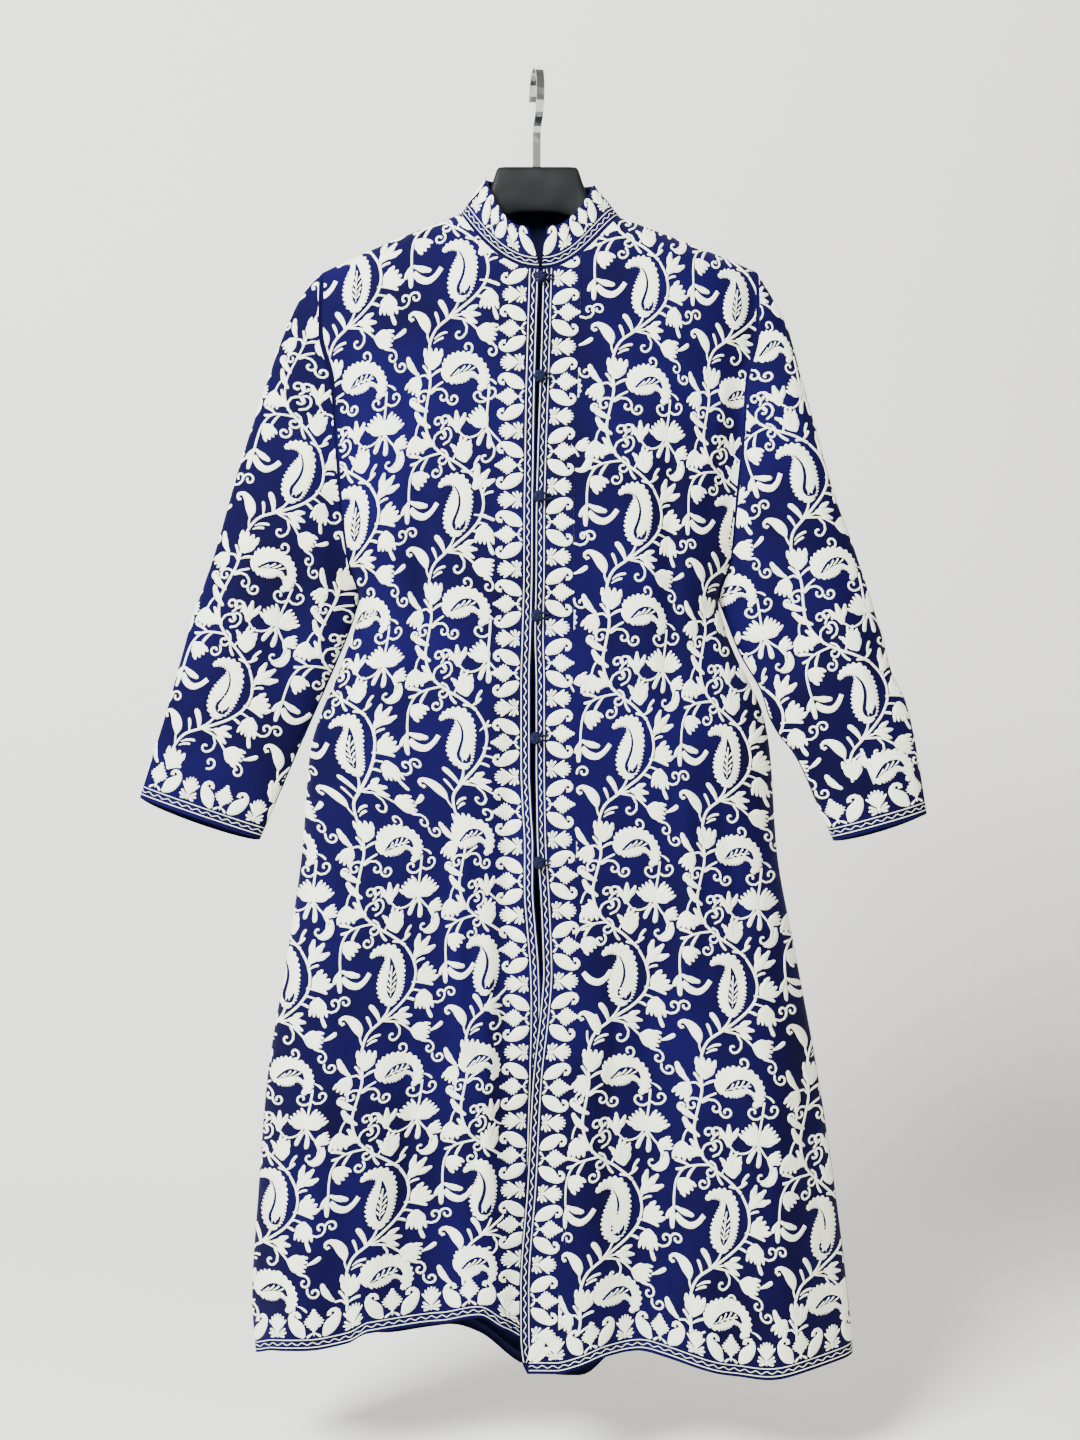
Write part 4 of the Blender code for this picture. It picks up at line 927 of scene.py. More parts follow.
def round_ends(line, half):
    """A stroke that is rounded at both ends, where places are added and its half widths narrowed."""
    along = run_along(line)
    length = along[-1]
    first, last = min(half[0], length / 3), min(half[-1], length / 3)
    turns = np.array([0.0, 0.45])
    inside = along[(along > first * 1.05) & (along < length - last * 1.05)]
    at = np.concatenate([first * (1 - np.cos(turns * math.pi / 2)), [first], inside, [length - last],
                         (length - last * (1 - np.cos(turns * math.pi / 2)))[::-1]])
    at = np.unique(np.round(at, 4))
    placed = np.stack([np.interp(at, along, line[:, 0]), np.interp(at, along, line[:, 1])], axis=-1)
    width = np.interp(at, along, half)
    near = np.minimum(at / max(first, 1e-6), (length - at) / max(last, 1e-6))
    round_off = np.sqrt(np.clip(1 - (1 - np.clip(near, 0, 1)) ** 2, 0.02, 1))
    return Stroke(placed, width * round_off, np.ones(len(at)))


def stem_stroke(width, points):
    """A line of even width through the points."""
    line = smooth_path(points, STEM_STEP)
    return round_ends(line, np.full(len(line), width / 2))


def leaf_stroke(leaf):
    """A finger on a bowed line: narrow at its base, widest past its middle, with a round or pointed tip."""
    start, end = np.array([leaf.x0, leaf.y0]), np.array([leaf.x1, leaf.y1])
    run = end - start
    bowed = (start + end) / 2 + np.array([-run[1], run[0]]) * leaf.bow
    t = np.linspace(0, 1, LEAF_PLACES)[:, None]
    line = start * (1 - t) ** 2 + 2 * bowed * t * (1 - t) + end * t**2
    t = t[:, 0]
    half = leaf.width / 2 * (0.42 + 0.58 * ease(t / 0.6)) * (1 - leaf.point * ease((t - 0.5) / 0.5))
    return round_ends(line, half)


def curl_stroke(curl, width=2.4):
    """A curl: it comes in quickly to the curl's own radius, which then shrinks to the eye as it turns."""
    away = np.array([curl.x0 - curl.x1, curl.y0 - curl.y1])
    far = max(math.hypot(*away), CURL_RADIUS)
    turn = np.linspace(0, 1, max(8, round(abs(curl.turns) * CURL_PLACES)))
    radius = CURL_EYE + (CURL_RADIUS - CURL_EYE) * (1 - turn) ** 0.8
    radius = radius + (far - CURL_RADIUS) * np.clip(1 - turn / 0.3, 0, 1) ** 1.6
    angle = math.atan2(away[1], away[0]) + 2 * math.pi * curl.turns * turn
    line = np.stack([curl.x1 + radius * np.cos(angle), curl.y1 + radius * np.sin(angle)], axis=-1)
    half = width / 2 * (1 + 0.35 * ease((turn - 0.8) / 0.2))
    return round_ends(line, half)


def cup_strokes(cup):
    """A flower: a bulb with three splayed fingers, a bowl with pointed petals across its top, or a fan."""
    start, end = np.array([cup.x0, cup.y0], float), np.array([cup.x1, cup.y1], float)
    run = end - start
    beside = np.array([-run[1], run[0]]) / math.hypot(*run)
    if cup.petals == 3:
        profile = ((-0.04, 0.07), (0.1, 0.15), (0.26, 0.21), (0.42, 0.17), (0.55, 0.10))
        petal, deep, spread, droop, point = cup.width * 0.31, 0.12, 0.0, 0.16, 0.6
    elif cup.petals > 5:
        profile = ((-0.02, 0.05), (0.10, 0.16), (0.30, 0.32), (0.48, 0.38), (0.66, 0.30))
        petal, deep, spread, droop, point = cup.width * 1.25 / cup.petals, 0.32, 0.14, 0.36, 0.5
    else:
        profile = ((-0.02, 0.06), (0.08, 0.19), (0.25, 0.37), (0.45, 0.44), (0.60, 0.41), (0.72, 0.30))
        petal, deep, spread, droop, point = cup.width * 1.3 / cup.petals, 0.36, 0.20, 0.04, 0.62
    strokes = [body_stroke([(*(start + run * t), w * cup.width) for t, w in profile])]
    for place in np.linspace(-1, 1, cup.petals):
        tip = end + beside * place * (cup.width * 1.04 - petal * 0.7) / 2 - run * droop * place**2
        base = start + run * deep + beside * place * cup.width * spread
        strokes.append(leaf_stroke(Leaf(*base, *tip, petal, 0.10 * place, point)))
    return strokes


def body_stroke(points, teeth=0.0):
    """A broad shape on a curved middle line, its edge toothed and fluted at the given period if any."""
    line = smooth_path(points, teeth / 4 if teeth else BODY_STEP)
    placed, half = line[:, :2], np.maximum(line[:, 2], 0.3)
    flute = np.ones(len(half))
    if teeth:
        flute = np.abs(np.sin(math.pi * run_along(placed) / teeth))
        half = half + TOOTH_DEPTH * (flute - 0.75) * np.minimum(1, half / 6)
    return Stroke(placed, half, flute)


# An element moves as one: its strokes, the level of each, and how far it may be moved. A reach below zero
# is a stem's, which stays where it is
Element = namedtuple("Element", "strokes levels reach")


def elements_of(stems=(), leaves=(), curls=(), cups=(), commas=(), bodies=(), teeth=TOOTH_PERIOD):
    """The elements of a motif, each with its strokes at the cloth's own level."""
    groups = [([stem_stroke(stem.width, stem.points)], -1.0) for stem in stems]
    groups += [([body_stroke(points, teeth)], PAISLEY_REACH) for points in bodies]
    groups += [([body_stroke(points)], CUP_REACH) for points in commas]
    groups += [([curl_stroke(curl)], CURL_REACH) for curl in curls]
    groups += [([leaf_stroke(leaf)], CURL_REACH) for leaf in leaves]
    groups += [(cup_strokes(cup), CUP_REACH) for cup in cups]
    return [Element(strokes, [0] * len(strokes), reach) for strokes, reach in groups]


Motif = namedtuple("Motif", "places height uv quads ink group reach")


def ribbon(stroke, level, lift):
    """A raised ribbon along a stroke: each place is the line's plus a share of its half width square to it.

    The edges are sunk into what it lies on, and a broad ribbon has more places across. The stitches
    run along it, and across it where it is toothed.
    """
    line, half, flute = stroke
    across = np.array(BROAD if half.max() > BROAD_FROM else NARROW)
    ahead = unit(np.gradient(line, axis=0))
    beside = np.stack([-ahead[:, 1], ahead[:, 0]], axis=-1)
    places = line[:, None] + beside[:, None] * (half[:, None] * across)[..., None]
    dip = 1 - (1 - flute[:, None]) * 0.55 * np.abs(across) ** 1.5
    thin = np.clip(half / 1.1, 0.35, 1.0)[:, None] if level == 0 else 1.0
    top = (TOP_HEIGHTS[level] + lift) * thin * (1 - 0.08 * np.abs(across)) * dip
    heights = np.where(np.abs(across) > 0.95, EDGE_HEIGHTS[level], top)
    along = run_along(line)
    run = np.broadcast_arrays(along[:, None], half[:, None] * across)
    uv = np.stack(run[::-1] if flute.min() < 0.5 else run, axis=-1)
    quads = grid_quads(len(line), len(across), False)
    return places.reshape(-1, 2), heights.ravel(), uv.reshape(-1, 2), quads


def join_motif(elements):
    """One motif from its elements. Strokes of level 1 show bare ground, those of level 2 lie on that."""
    parts, count, number = [], 0, 0
    for group, element in enumerate(elements):
        for stroke, level in zip(element.strokes, element.levels):
            lift = 0.06 * math.sin(2.4 * number) if level == 0 else 0.0
            places, heights, uv, quads = ribbon(stroke, level, lift)
            size = len(places)
            parts.append((places, heights, uv, quads + count, np.full(len(quads), float(level == 1)),
                          np.full(size, group), np.full(size, element.reach)))
            count += size
            number += 1
    return Motif(*map(np.concatenate, zip(*parts)))


def tile(motif, offsets):
    """Copies of a motif at offsets, as one motif."""
    offsets = np.asarray(offsets, float)
    count = len(offsets)
    number = np.arange(count)[:, None]
    return Motif(
        (motif.places[None] + offsets[:, None]).reshape(-1, 2),
        np.tile(motif.height, count),
        (motif.uv[None] + number[..., None] * np.array([STITCH_SHIFT, 0.0])).reshape(-1, 2),
        (motif.quads[None] + number[..., None] * len(motif.places)).reshape(-1, 4),
        np.tile(motif.ink, count),
        (motif.group[None] + number * (motif.group.max() + 1)).ravel(),
        np.tile(motif.reach, count),
    )


def cell_motif(kind):
    """The repeat of the all-over vine, its paisleys with the hollows and sprigs of one kind."""
    elements = elements_of(STEMS, LEAVES, CURLS, CUPS, COMMAS)
    for body, hollow, sprigs in zip(PAISLEYS, HOLLOWS[kind], SPRIGS[kind]):
        strokes = [body_stroke(body, TOOTH_PERIOD), body_stroke(hollow), *map(leaf_stroke, sprigs)]
        elements.append(Element(strokes, [0, 1] + [2] * len(sprigs), PAISLEY_REACH))
    return join_motif(elements)


def vine(offsets):
    """The repeats laid out at offsets with their column numbers, the two kinds in turn."""
    sides = []
    for turn, kind in enumerate(("scroll", "leaf")):
        chosen = [(x, y) for x, y, number in offsets if number % 2 == turn]
        sides.append(tile(cell_motif(kind), chosen))
    return merge(*sides)


def border_motif(length, closed=False, lead=BORDER_LEAD):
    """A run of the border: flowers and commas, then a line, a zigzag and a line next to the edge.

    The first lotus of an open run lies at its lead. A closed run repeats evenly all round.
    """
    at = np.linspace(0, length, max(2, round(length / (ZIGZAG_PERIOD / 6))) + 1)
    straight = np.linspace(0, length, max(2, round(length / 4)) + 1)
    strokes = []
    for y in BAND_LINES:
        line = np.stack([straight, np.full(len(straight), y)], axis=-1)
        strokes.append(Stroke(line, np.full(len(straight), BAND_WIDTH / 2), np.ones(len(straight))))
    wave = np.arcsin(np.sin(2 * math.pi * at / ZIGZAG_PERIOD)) / (math.pi / 2)
    zigzag = np.stack([at, ZIGZAG_Y + ZIGZAG_HEIGHT * wave], axis=-1)
    strokes.append(Stroke(zigzag, np.full(len(at), BAND_WIDTH * 0.42), np.ones(len(at))))
    band = join_motif([Element([stroke], [0], -1.0) for stroke in strokes])
    flowers = join_motif(elements_of(leaves=BORDER_LEAVES, cups=BORDER_CUPS, commas=BORDER_COMMAS,
                                     bodies=BORDER_BODIES, teeth=BORDER_TOOTH))
    tail = 0.0 if closed else BORDER_END
    repeats = max(1, round((length - tail) / BORDER_PERIOD))
    stretch = length / (repeats * BORDER_PERIOD + tail)
    first = BORDER_PERIOD * 0.25 if closed else lead
    places = range(repeats) if closed else range(-1, repeats + 2)
    flowers = tile(flowers, [(first + BORDER_PERIOD * i, 0) for i in places])
    flowers = flowers._replace(places=flowers.places * np.array([stretch, 1.0]))
    if closed:
        return merge(band, flowers)
    middle = element_middles(flowers, flowers.places[:, 0])
    inside = (middle > 2) & (middle < length - 2)
    flowers = flowers._replace(places=np.where(inside[flowers.group][:, None], flowers.places, np.nan))
    return merge(band, without_gaps(flowers))


def without_gaps(motif):
    """The motif without the elements whose places were struck out."""
    kept = ~np.isnan(motif.places[:, 0])
    number = np.cumsum(kept) - 1
    faces = kept[motif.quads].all(axis=1)
    return Motif(motif.places[kept], motif.height[kept], motif.uv[kept], number[motif.quads[faces]],
                 motif.ink[faces], motif.group[kept], motif.reach[kept])


def merge(*motifs):
    """Several motifs as one."""
    shifts = np.cumsum([0] + [len(motif.places) for motif in motifs[:-1]])
    groups = np.cumsum([0] + [motif.group.max() + 1 for motif in motifs[:-1]])
    joined = {name: np.concatenate([getattr(motif, name) for motif in motifs]) for name in Motif._fields}
    joined["quads"] = np.concatenate([motif.quads + shift for motif, shift in zip(motifs, shifts)])
    joined["group"] = np.concatenate([motif.group + shift for motif, shift in zip(motifs, groups)])
    return Motif(**joined)


def keep_whole(motif, over):
    """How far each place moves so that its whole element clears a limit, and which elements go.

    The distances beyond the limit are in millimetres. An element moves by its own greatest distance, and
    goes if that is more than its reach. Stems neither move nor go.
    """
    greatest = np.full(motif.group.max() + 1, 0.0)
    np.maximum.at(greatest, motif.group, over)
    greatest = greatest[motif.group]
    is_stem = motif.reach < 0
    gone = ~is_stem & (greatest > motif.reach)
    return np.where(is_stem | gone, 0.0, greatest), gone


def raised(face, a, b, height, outwards):
    """Points of a surface moved out along its normals, which come from small steps each way."""
    step = 4e-4
    normals = unit(np.cross(face(a + step, b) - face(a - step, b), face(a, b + step) - face(a, b - step)))
    return face(a, b) + normals * outwards * height[:, None] / 1000


def raised_panel(panel, x, drop, height):
    """Points of a panel's face moved out along its normals."""
    return raised(lambda a, b: panel_face(panel, a, b), x, drop, height, OUTWARDS[panel])


def raised_ring(face, a, b, height, inside):
    """Points of a round surface moved along its normals, away from the places inside it."""
    laid, bare = raised(face, a, b, height, 1.0), face(a, b)
    is_inwards = ((laid - bare) * (bare - inside)).sum(axis=-1).mean() < 0
    return 2 * bare - laid if is_inwards else laid


def raised_sleeve(side, along, angle, height):
    """Points of a sleeve's face moved out, away from the opposite side of its ring."""
    opposite = sleeve_face(side, along, angle + math.pi)
    return raised_ring(lambda a, b: sleeve_face(side, a, b), along, angle, height, opposite)


def element_middles(motif, x):
    """The mean x of each element's places."""
    return np.bincount(motif.group, x) / np.maximum(np.bincount(motif.group), 1)


def lay(name, motif, points, outside, materials):
    """The object of a laid motif, without the faces that lie wholly outside its panel."""
    inside = ~outside[motif.quads].all(axis=1)
    kept, ink = motif.quads[inside], motif.ink[inside]
    used, quads = np.unique(kept, return_inverse=True)
    quads = quads.reshape(kept.shape)
    corners = points[used]
    a, b, c, d = corners[quads].transpose(1, 0, 2)
    solid = np.linalg.norm(np.cross(c - a, d - b), axis=1) > LEAST_FACE
    made = make_mesh(name, corners, quads[solid], materials, ink[solid], motif.uv[used])
    return made


def wander(places):
    """Small slow drifts, so that no two repeats of the hand embroidery are quite alike."""
    x, y = places[:, 0], places[:, 1]
    dx = 1.6 * np.sin(y / 47 + 0.7 * np.sin(x / 61)) + 1.1 * np.sin((x + y) / 83)
    dy = 1.9 * np.sin(x / 53 + 0.9 * np.sin(y / 77)) + 1.2 * np.sin((x - y) / 71)
    return np.stack([x + dx, y + dy], axis=-1)


def spread_columns(panel, across, drop):
    """Across the panel for a place across the pattern, both in millimetres from the middle.

    The pattern's columns lie at given places for each drop, and a smooth curve runs through them.
    """
    table = WARPS[panel]
    a, b, c = (smooth_curve(table, name, drop / 1000) for name in "abc")
    first = np.maximum(FIRST_COLUMN, a - WARP_COLUMNS[2] + WARP_COLUMNS[1])
    rows = np.stack([np.maximum(0, a - WARP_COLUMNS[2]), first, a, b, c, c + CELL_WIDTH])
    return smooth_between(WARP_COLUMNS, rows, across)


def panel_motif(panel):
    """The vine's repeats laid over a panel: its places as x and drop, in metres.

    Down the panel the repeats' own rows are moved to the rows that the panel shows.
    """
    rows = ROWS[panel]
    keys = [CELL_HEIGHT * n for n in range(len(rows))]
    if panel == "back":
        motif = vine([(CELL_WIDTH * (k + 0.5), y, k) for k in range(-4, 4) for y in keys])
        places = wander(motif.places)
        return motif, places[:, 0] / 1000, smooth_between(keys, rows, places[:, 1]) / 1000
    sign = sided(panel)[1]
    motif = vine([(sign * (WARP_COLUMNS[2] + CELL_WIDTH * k), y, k) for k in range(-1, 4) for y in keys])
    places = wander(motif.places)
    across = sign * places[:, 0]
    drop = smooth_between(keys, rows, places[:, 1]) + SAG[panel] * np.maximum(across - WARP_COLUMNS[2], 0)
    return motif, sign * spread_columns(panel, across, drop) / 1000, drop / 1000


def panel_limits(panel, motif, x, drop):
    """Keeps places inside a panel. Elements that would cross its borders move clear of them or go.

    At the seams shapes are cut through, as cloth is when it is cut and sewn.
    """
    border = BORDER_TOP / 1000
    gone = np.zeros(len(x), bool)
    if panel != "back":
        side, sign = sided(panel)
        edge = smooth_curve(FRONT_EDGES, side, drop)
        shift, beyond = keep_whole(motif, (border + 0.001 - sign * (x - edge)) * 1000)
        x, gone = x + sign * shift / 1000, gone | beyond
    shift, beyond = keep_whole(motif, (drop - hem_drop(panel, x) + border) * 1000)
    drop, gone = drop - shift / 1000, gone | beyond
    share = panel_share(panel, x, drop)
    low = -SEAM_SHARE if panel == "back" else border * 0.9 / smooth_curve(SIDES, "right", drop)
    kept_share = np.clip(share, low, SEAM_SHARE)
    kept_x = panel_x(panel, kept_share, drop)
    top = panel_top(panel, kept_share)[0] + 0.003
    kept_drop = np.clip(drop, top, hem_drop(panel, kept_x) - border * 0.9)
    kept_x = panel_x(panel, kept_share, kept_drop)
    return kept_x, kept_drop, (kept_share != share) | (kept_drop != drop) | gone


def embroider_panel(panel, materials):
    """The vine on one panel, the wide back's in two pieces."""
    motif, x, drop = panel_motif(panel)
    x, drop, outside = panel_limits(panel, motif, x, drop)
    points = raised_panel(panel, x, drop, motif.height)
    if panel != "back":
        return [lay("embroidery_" + panel, motif, points, outside, materials)]
    on_left = (element_middles(motif, x) > 0)[motif.group]
    return [lay("embroidery_back_" + side, motif, points, outside | beyond, materials)
            for side, beyond in (("right", on_left), ("left", ~on_left))]


def embroider_edges(panel, materials):
    """The borders along a panel's hem and its front edge."""
    low, high = HEMS[panel][0].x, HEMS[panel][-1].x
    hem = border_motif((high - low) * 1000)
    x = low + hem.places[:, 0] / 1000
    drop = hem_drop(panel, x) - (hem.places[:, 1] + HEM_INSET) / 1000
    share = panel_share(panel, x, drop)
    kept = np.clip(share, -BORDER_SHARE if panel == "back" else 0.002, BORDER_SHARE)
    x = panel_x(panel, kept, drop)
    points = raised_panel(panel, x, drop, hem.height)
    made = [lay("hem_border_" + panel, hem, points, kept != share, materials)]
    if panel == "back":
        return made
    side, sign = sided(panel)
    top = FRONT_NECK_DROP - EDGE_RISE
    bottom = float(hem_drop(panel, np.array([sign * 0.006]))[0])
    edge = border_motif((bottom - top) * 1000 - BAND, lead=BORDER_LEADS.get(panel, BORDER_LEAD))
    drop = top + edge.places[:, 0] / 1000
    x = smooth_curve(FRONT_EDGES, side, drop) + sign * edge.places[:, 1] / 1000
    share = panel_share(panel, x, drop)
    limit = panel_top(panel, np.clip(share, 0, 1))[0] + 0.002
    floor = hem_drop(panel, x) - np.minimum(edge.places[:, 1], BORDER_TOP) * 0.75 / 1000
    kept = np.clip(drop, limit, floor)
    points = raised_panel(panel, x, kept, edge.height)
    return made + [lay("edge_border_" + panel, edge, points, kept != drop, materials)]


def sleeve_place(side, x, drop):
    """The share along and the angle's cosine of places in a sleeve's flat view.

    The share is found by halving: it is where the line between the two outlines passes the place.
    """
    low, high = np.zeros_like(x), np.ones_like(x)

    def beyond(along):
        (ox, od), (ix, idrop) = sleeve_edges(side, along)
        hx, hd = ox - ix, od - idrop
        return ((x - ix) * hd - (drop - idrop) * hx) * SIGNS[side]

    for _ in range(22):
        middle = (low + high) / 2
        past = beyond(middle) > 0
        high = np.where(past, middle, high)
        low = np.where(past, low, middle)
    (ox, od), (ix, idrop) = sleeve_edges(side, low)
    hx, hd = (ox - ix) / 2, (od - idrop) / 2
    cosine = ((x - (ox + ix) / 2) * hx + (drop - (od + idrop) / 2) * hd) / (hx**2 + hd**2)
    return low, cosine


def sleeve_motif(side):
    """The vine's repeats laid over a sleeve: its places as x and drop, in metres, and which lie behind.

    The pattern leans with the sleeve. Near the outer outline it turns with the rim: a place past the
    rim's top lies behind it, and its distance along the round becomes an inset by one minus a cosine.
    """
    x0, drop0, lean = SLEEVE_ANCHORS[side]
    lean = math.radians(lean)
    sign = SIGNS[side]
    motif = vine([(CELL_WIDTH * k, CELL_HEIGHT * n, k) for k in range(-4, 5) for n in range(-2, 3)])
    places = wander(motif.places)
    across, down = places[:, 0] * sign, places[:, 1]
    table = SLEEVE_OUTLINES[side]["outer"]
    edge_x, edge_drop = sign * column(table, "x") * 1000 - x0, column(table, "drop") * 1000 - drop0
    cos, sin = math.cos(lean), math.sin(lean)
    edge_across = (edge_x * cos + edge_drop * sin) * sign
    edge_down = -edge_x * sin + edge_drop * cos
    order = np.argsort(edge_down)
    rim = smooth_between(edge_down[order], edge_across[order], down)
    radius = SLEEVE_RIM_RADIUS
    inset = rim + (math.pi / 2 - 1) * radius - across
    turned = np.abs(inset)
    on_rim = turned < radius * math.pi / 2
    flat = np.where(on_rim, radius * (1 - np.cos(turned / radius)), turned - (math.pi / 2 - 1) * radius)
    across = (rim - flat) * sign
    x, drop = x0 + across * cos - down * sin, drop0 + across * sin + down * cos
    return motif, x / 1000, drop / 1000, inset < 0


def embroider_sleeve(side, materials):
    """The vine on a sleeve's front and back, which run into each other round its outer rim."""
    motif, x, drop, behind = sleeve_motif(side)
    along, cosine = sleeve_place(side, x, drop)
    length = np.where(cosine > 0, OUTER_LENGTH, INNER_LENGTH)
    top = 1 - BORDER_TOP / 1000 / length
    shift, gone = keep_whole(motif, (along - top) * length * 1000)
    along = along - shift / 1000 / length
    kept_along = np.clip(along, 0.006, top)
    kept_cos = np.clip(cosine, SLEEVE_SEAM_COSINE, 1.0)
    angle = np.arccos(kept_cos)
    angle = np.where(behind, 2 * math.pi - angle, angle)
    outside = (kept_along != along) | (kept_cos != cosine) | gone
    points = raised_sleeve(side, kept_along, angle, motif.height)
    leaves = lay("embroidery_sleeve_" + side, motif, points, outside, materials)
    return [leaves, embroider_cuff(side, materials)]


def embroider_cuff(side, materials):
    """The border round a cuff: x runs round the cuff's ring, y up the sleeve."""
    ring = np.linspace(0, 2 * math.pi, 181)
    points = sleeve_face(side, np.ones_like(ring), ring)
    around = run_along(points) * 1000
    motif = border_motif(around[-1], closed=True)
    angle = np.interp(motif.places[:, 0], around, ring)
    lower = sleeve_face(side, np.full_like(angle, 0.9), angle)
    length = np.linalg.norm(lower - sleeve_face(side, np.ones_like(angle), angle), axis=1) * 10000
    along = 1 - (motif.places[:, 1] + CUFF_INSET) / length
    laid = raised_sleeve(side, along, angle, motif.height)
    return lay("cuff_border_" + side, motif, laid, np.zeros(len(laid), bool), materials)


def embroider_collar(materials):
    """The collar's border: its band at the neckline, its flowers standing up to the top edge."""
    turn = np.linspace(-math.pi / 2, math.pi * 1.5, 241)
    base = collar_face(turn, np.ones_like(turn))
    along = run_along(base) * 1000
    motif = border_motif(along[-1])
    at = np.interp(motif.places[:, 0], along, turn)
    rise = collar_face(at, np.zeros_like(at)) - collar_face(at, np.ones_like(at))
    tall = np.linalg.norm(rise, axis=1) * 1000
    up = motif.places[:, 1]
    flowers = BAND + (up - BAND) * (tall - BAND - COLLAR_EDGE) / (BORDER_TOP - BAND)
    share = 1 - (np.where(up > BAND, flowers, up) + COLLAR_INSET) / tall
    kept = np.clip(share, 0.0, 1.0)
    laid = raised_ring(collar_face, at, kept, motif.height, collar_face(at, kept).mean(axis=0))
    return lay("collar_border", motif, laid, kept != share, materials)


# Materials


class Socket:
    """A material's value under construction. Arithmetic on it adds Math nodes to the material."""

    def __init__(self, output):
        self.output = output

    @classmethod
    def node(cls, tree, kind, settings=None, sockets=None, out=0):
        """Adds a node: its settings first, then the values or links of its sockets. Returns one output."""
        made = tree.nodes.new(kind)
        for name, value in (settings or {}).items():
            setattr(made, name, value)
        for key, value in (sockets or {}).items():
            if isinstance(value, Socket):
                tree.links.new(value.output, made.inputs[key])
            else:
                made.inputs[key].default_value = value
        return cls(made.outputs[out])

    def math(self, operation, other=0.0, swap=False):
        first, second = (other, self) if swap else (self, other)
        return Socket.node(self.output.id_data, "ShaderNodeMath", {"operation": operation},
                           {0: first, 1: second})

    def __add__(self, other):
        return self.math("ADD", other)

    def __radd__(self, other):
        return self.math("ADD", other)

    def __sub__(self, other):
        return self.math("SUBTRACT", other)

    def __rsub__(self, other):
        return self.math("SUBTRACT", other, swap=True)

    def __mul__(self, other):
        return self.math("MULTIPLY", other)

    def __rmul__(self, other):
        return self.math("MULTIPLY", other)

    def ramp(self, low, high):
        """0 below low, 1 above high, smooth between."""
        return Socket.node(self.output.id_data, "ShaderNodeMapRange", {"interpolation_type": "SMOOTHSTEP"},
                           {0: self, 1: low, 2: high})

    def blend(self, low, high):
        """A colour between two, by this value."""
        return Socket.node(self.output.id_data, "ShaderNodeMix", {"data_type": "RGBA"},
                           {0: self, 6: (*low, 1.0), 7: (*high, 1.0)}, out=2)


class Finish:
    """One Principled material with its places on the piece and its varying inputs."""

    def __init__(self, name, colour, roughness, **fixed):
        self.material = bpy.data.materials.new(name)
        self.material.use_nodes = True
        self.tree = self.material.node_tree
        self.shader = self.tree.nodes["Principled BSDF"]
        self.shader.inputs["Base Color"].default_value = (*colour, 1.0)
        self.shader.inputs["Roughness"].default_value = roughness
        for key, value in fixed.items():
            self.shader.inputs[key.replace("_", " ")].default_value = value
        self.place = Socket.node(self.tree, "ShaderNodeTexCoord", out="Object")

    def split(self, vector):
        """The first, second and third number of a vector."""
        return [Socket.node(self.tree, "ShaderNodeSeparateXYZ", None, {0: vector}, out=n) for n in range(3)]

    def noise(self, scale, detail=3.0):
        """Smooth noise from 0 to 1 on the piece's own places, at a scale in repeats a metre."""
        return Socket.node(self.tree, "ShaderNodeTexNoise", None,
                           {"Vector": self.place, "Scale": scale, "Detail": detail})

    def vary(self, **inputs):
        """Links values to the shader's inputs."""
        for key, value in inputs.items():
            self.tree.links.new(value.output, self.shader.inputs[key.replace("_", " ")])

    def bump(self, height, distance, strength):
        """Links a height to the shader's normal."""
        self.vary(Normal=Socket.node(self.tree, "ShaderNodeBump", None,
                                     {"Height": height, "Distance": distance, "Strength": strength}))


def cloth_finish(name, dark, light, weave, roughness, sheen):
    """Woven cloth: a sine across times a sine down at the weave's pitch, with slubs and slow blotches."""
    made = Finish(name, light, roughness, Sheen_Weight=sheen, Sheen_Roughness=0.4, Specular_IOR_Level=0.06)
    x, _, z = made.split(made.place)
    threads = (x * (2 * math.pi / weave)).math("SINE") * (z * (2 * math.pi / weave)).math("SINE")
    slub, blotch = made.noise(900.0), made.noise(9.0)
    value = (blotch * 0.55 + slub * 0.25 + threads * 0.06 + 0.05).ramp(0.25, 0.68)
    made.vary(Base_Color=value.blend(dark, light), Roughness=slub * 0.25 + (roughness - 0.12))
    made.bump(threads * 0.5 + slub, 0.00025, 0.6)
    return made.material


def wool_finish(name, settings):
    """Cream wool in chain stitch: rows of slanting links along each stroke, read from its own UV map.

    The links are a sine of the run plus the distance from the row's middle, and the grooves between
    rows are where that distance is greatest. Both are also painted into the colour: painted shade in the
    grooves, and painted light and shade along each link, as their relief would catch the light.
    """
    made = Finish(name, settings.cream_light, 0.72, Sheen_Weight=0.2, Sheen_Roughness=0.5,
                  Specular_IOR_Level=0.2)
    along, across, _ = made.split(Socket.node(made.tree, "ShaderNodeUVMap", {"uv_map": "UVMap"}))
    row = ((across * (0.001 / settings.row_pitch)).math("FRACT") - 0.5).math("ABSOLUTE")
    link = ((along * (0.001 / settings.link_length) + row * 1.1) * (2 * math.pi)).math("SINE")
    groove = row.ramp(0.30, 0.5)
    shade, thread = made.noise(24.0), made.noise(700.0)
    # Painted shade: the link term lightens and darkens the colour along each link, and the groove term darkens
    # the grooves between rows
    value = (shade * 0.55 + thread * 0.30 + link * 0.08 - groove * 0.40 + 0.14).ramp(0.12, 0.62)
    made.vary(Base_Color=value.blend(settings.cream_dark, settings.cream_light))
    made.bump(link * 0.4 - groove * 1.0 + thread * 0.5, 0.0003, 0.5)
    return made.material


def cord_finish(name, settings):
    """Turned navy cloth cord: fine grain and a slow change of colour."""
    made = Finish(name, settings.cord_light, 0.75, Specular_IOR_Level=0.15)
    grain = made.noise(1500.0)
    made.vary(Base_Color=grain.ramp(0.3, 0.7).blend(settings.cord_dark, settings.cord_light))
    made.bump(grain, 0.0003, 0.5)
    return made.material


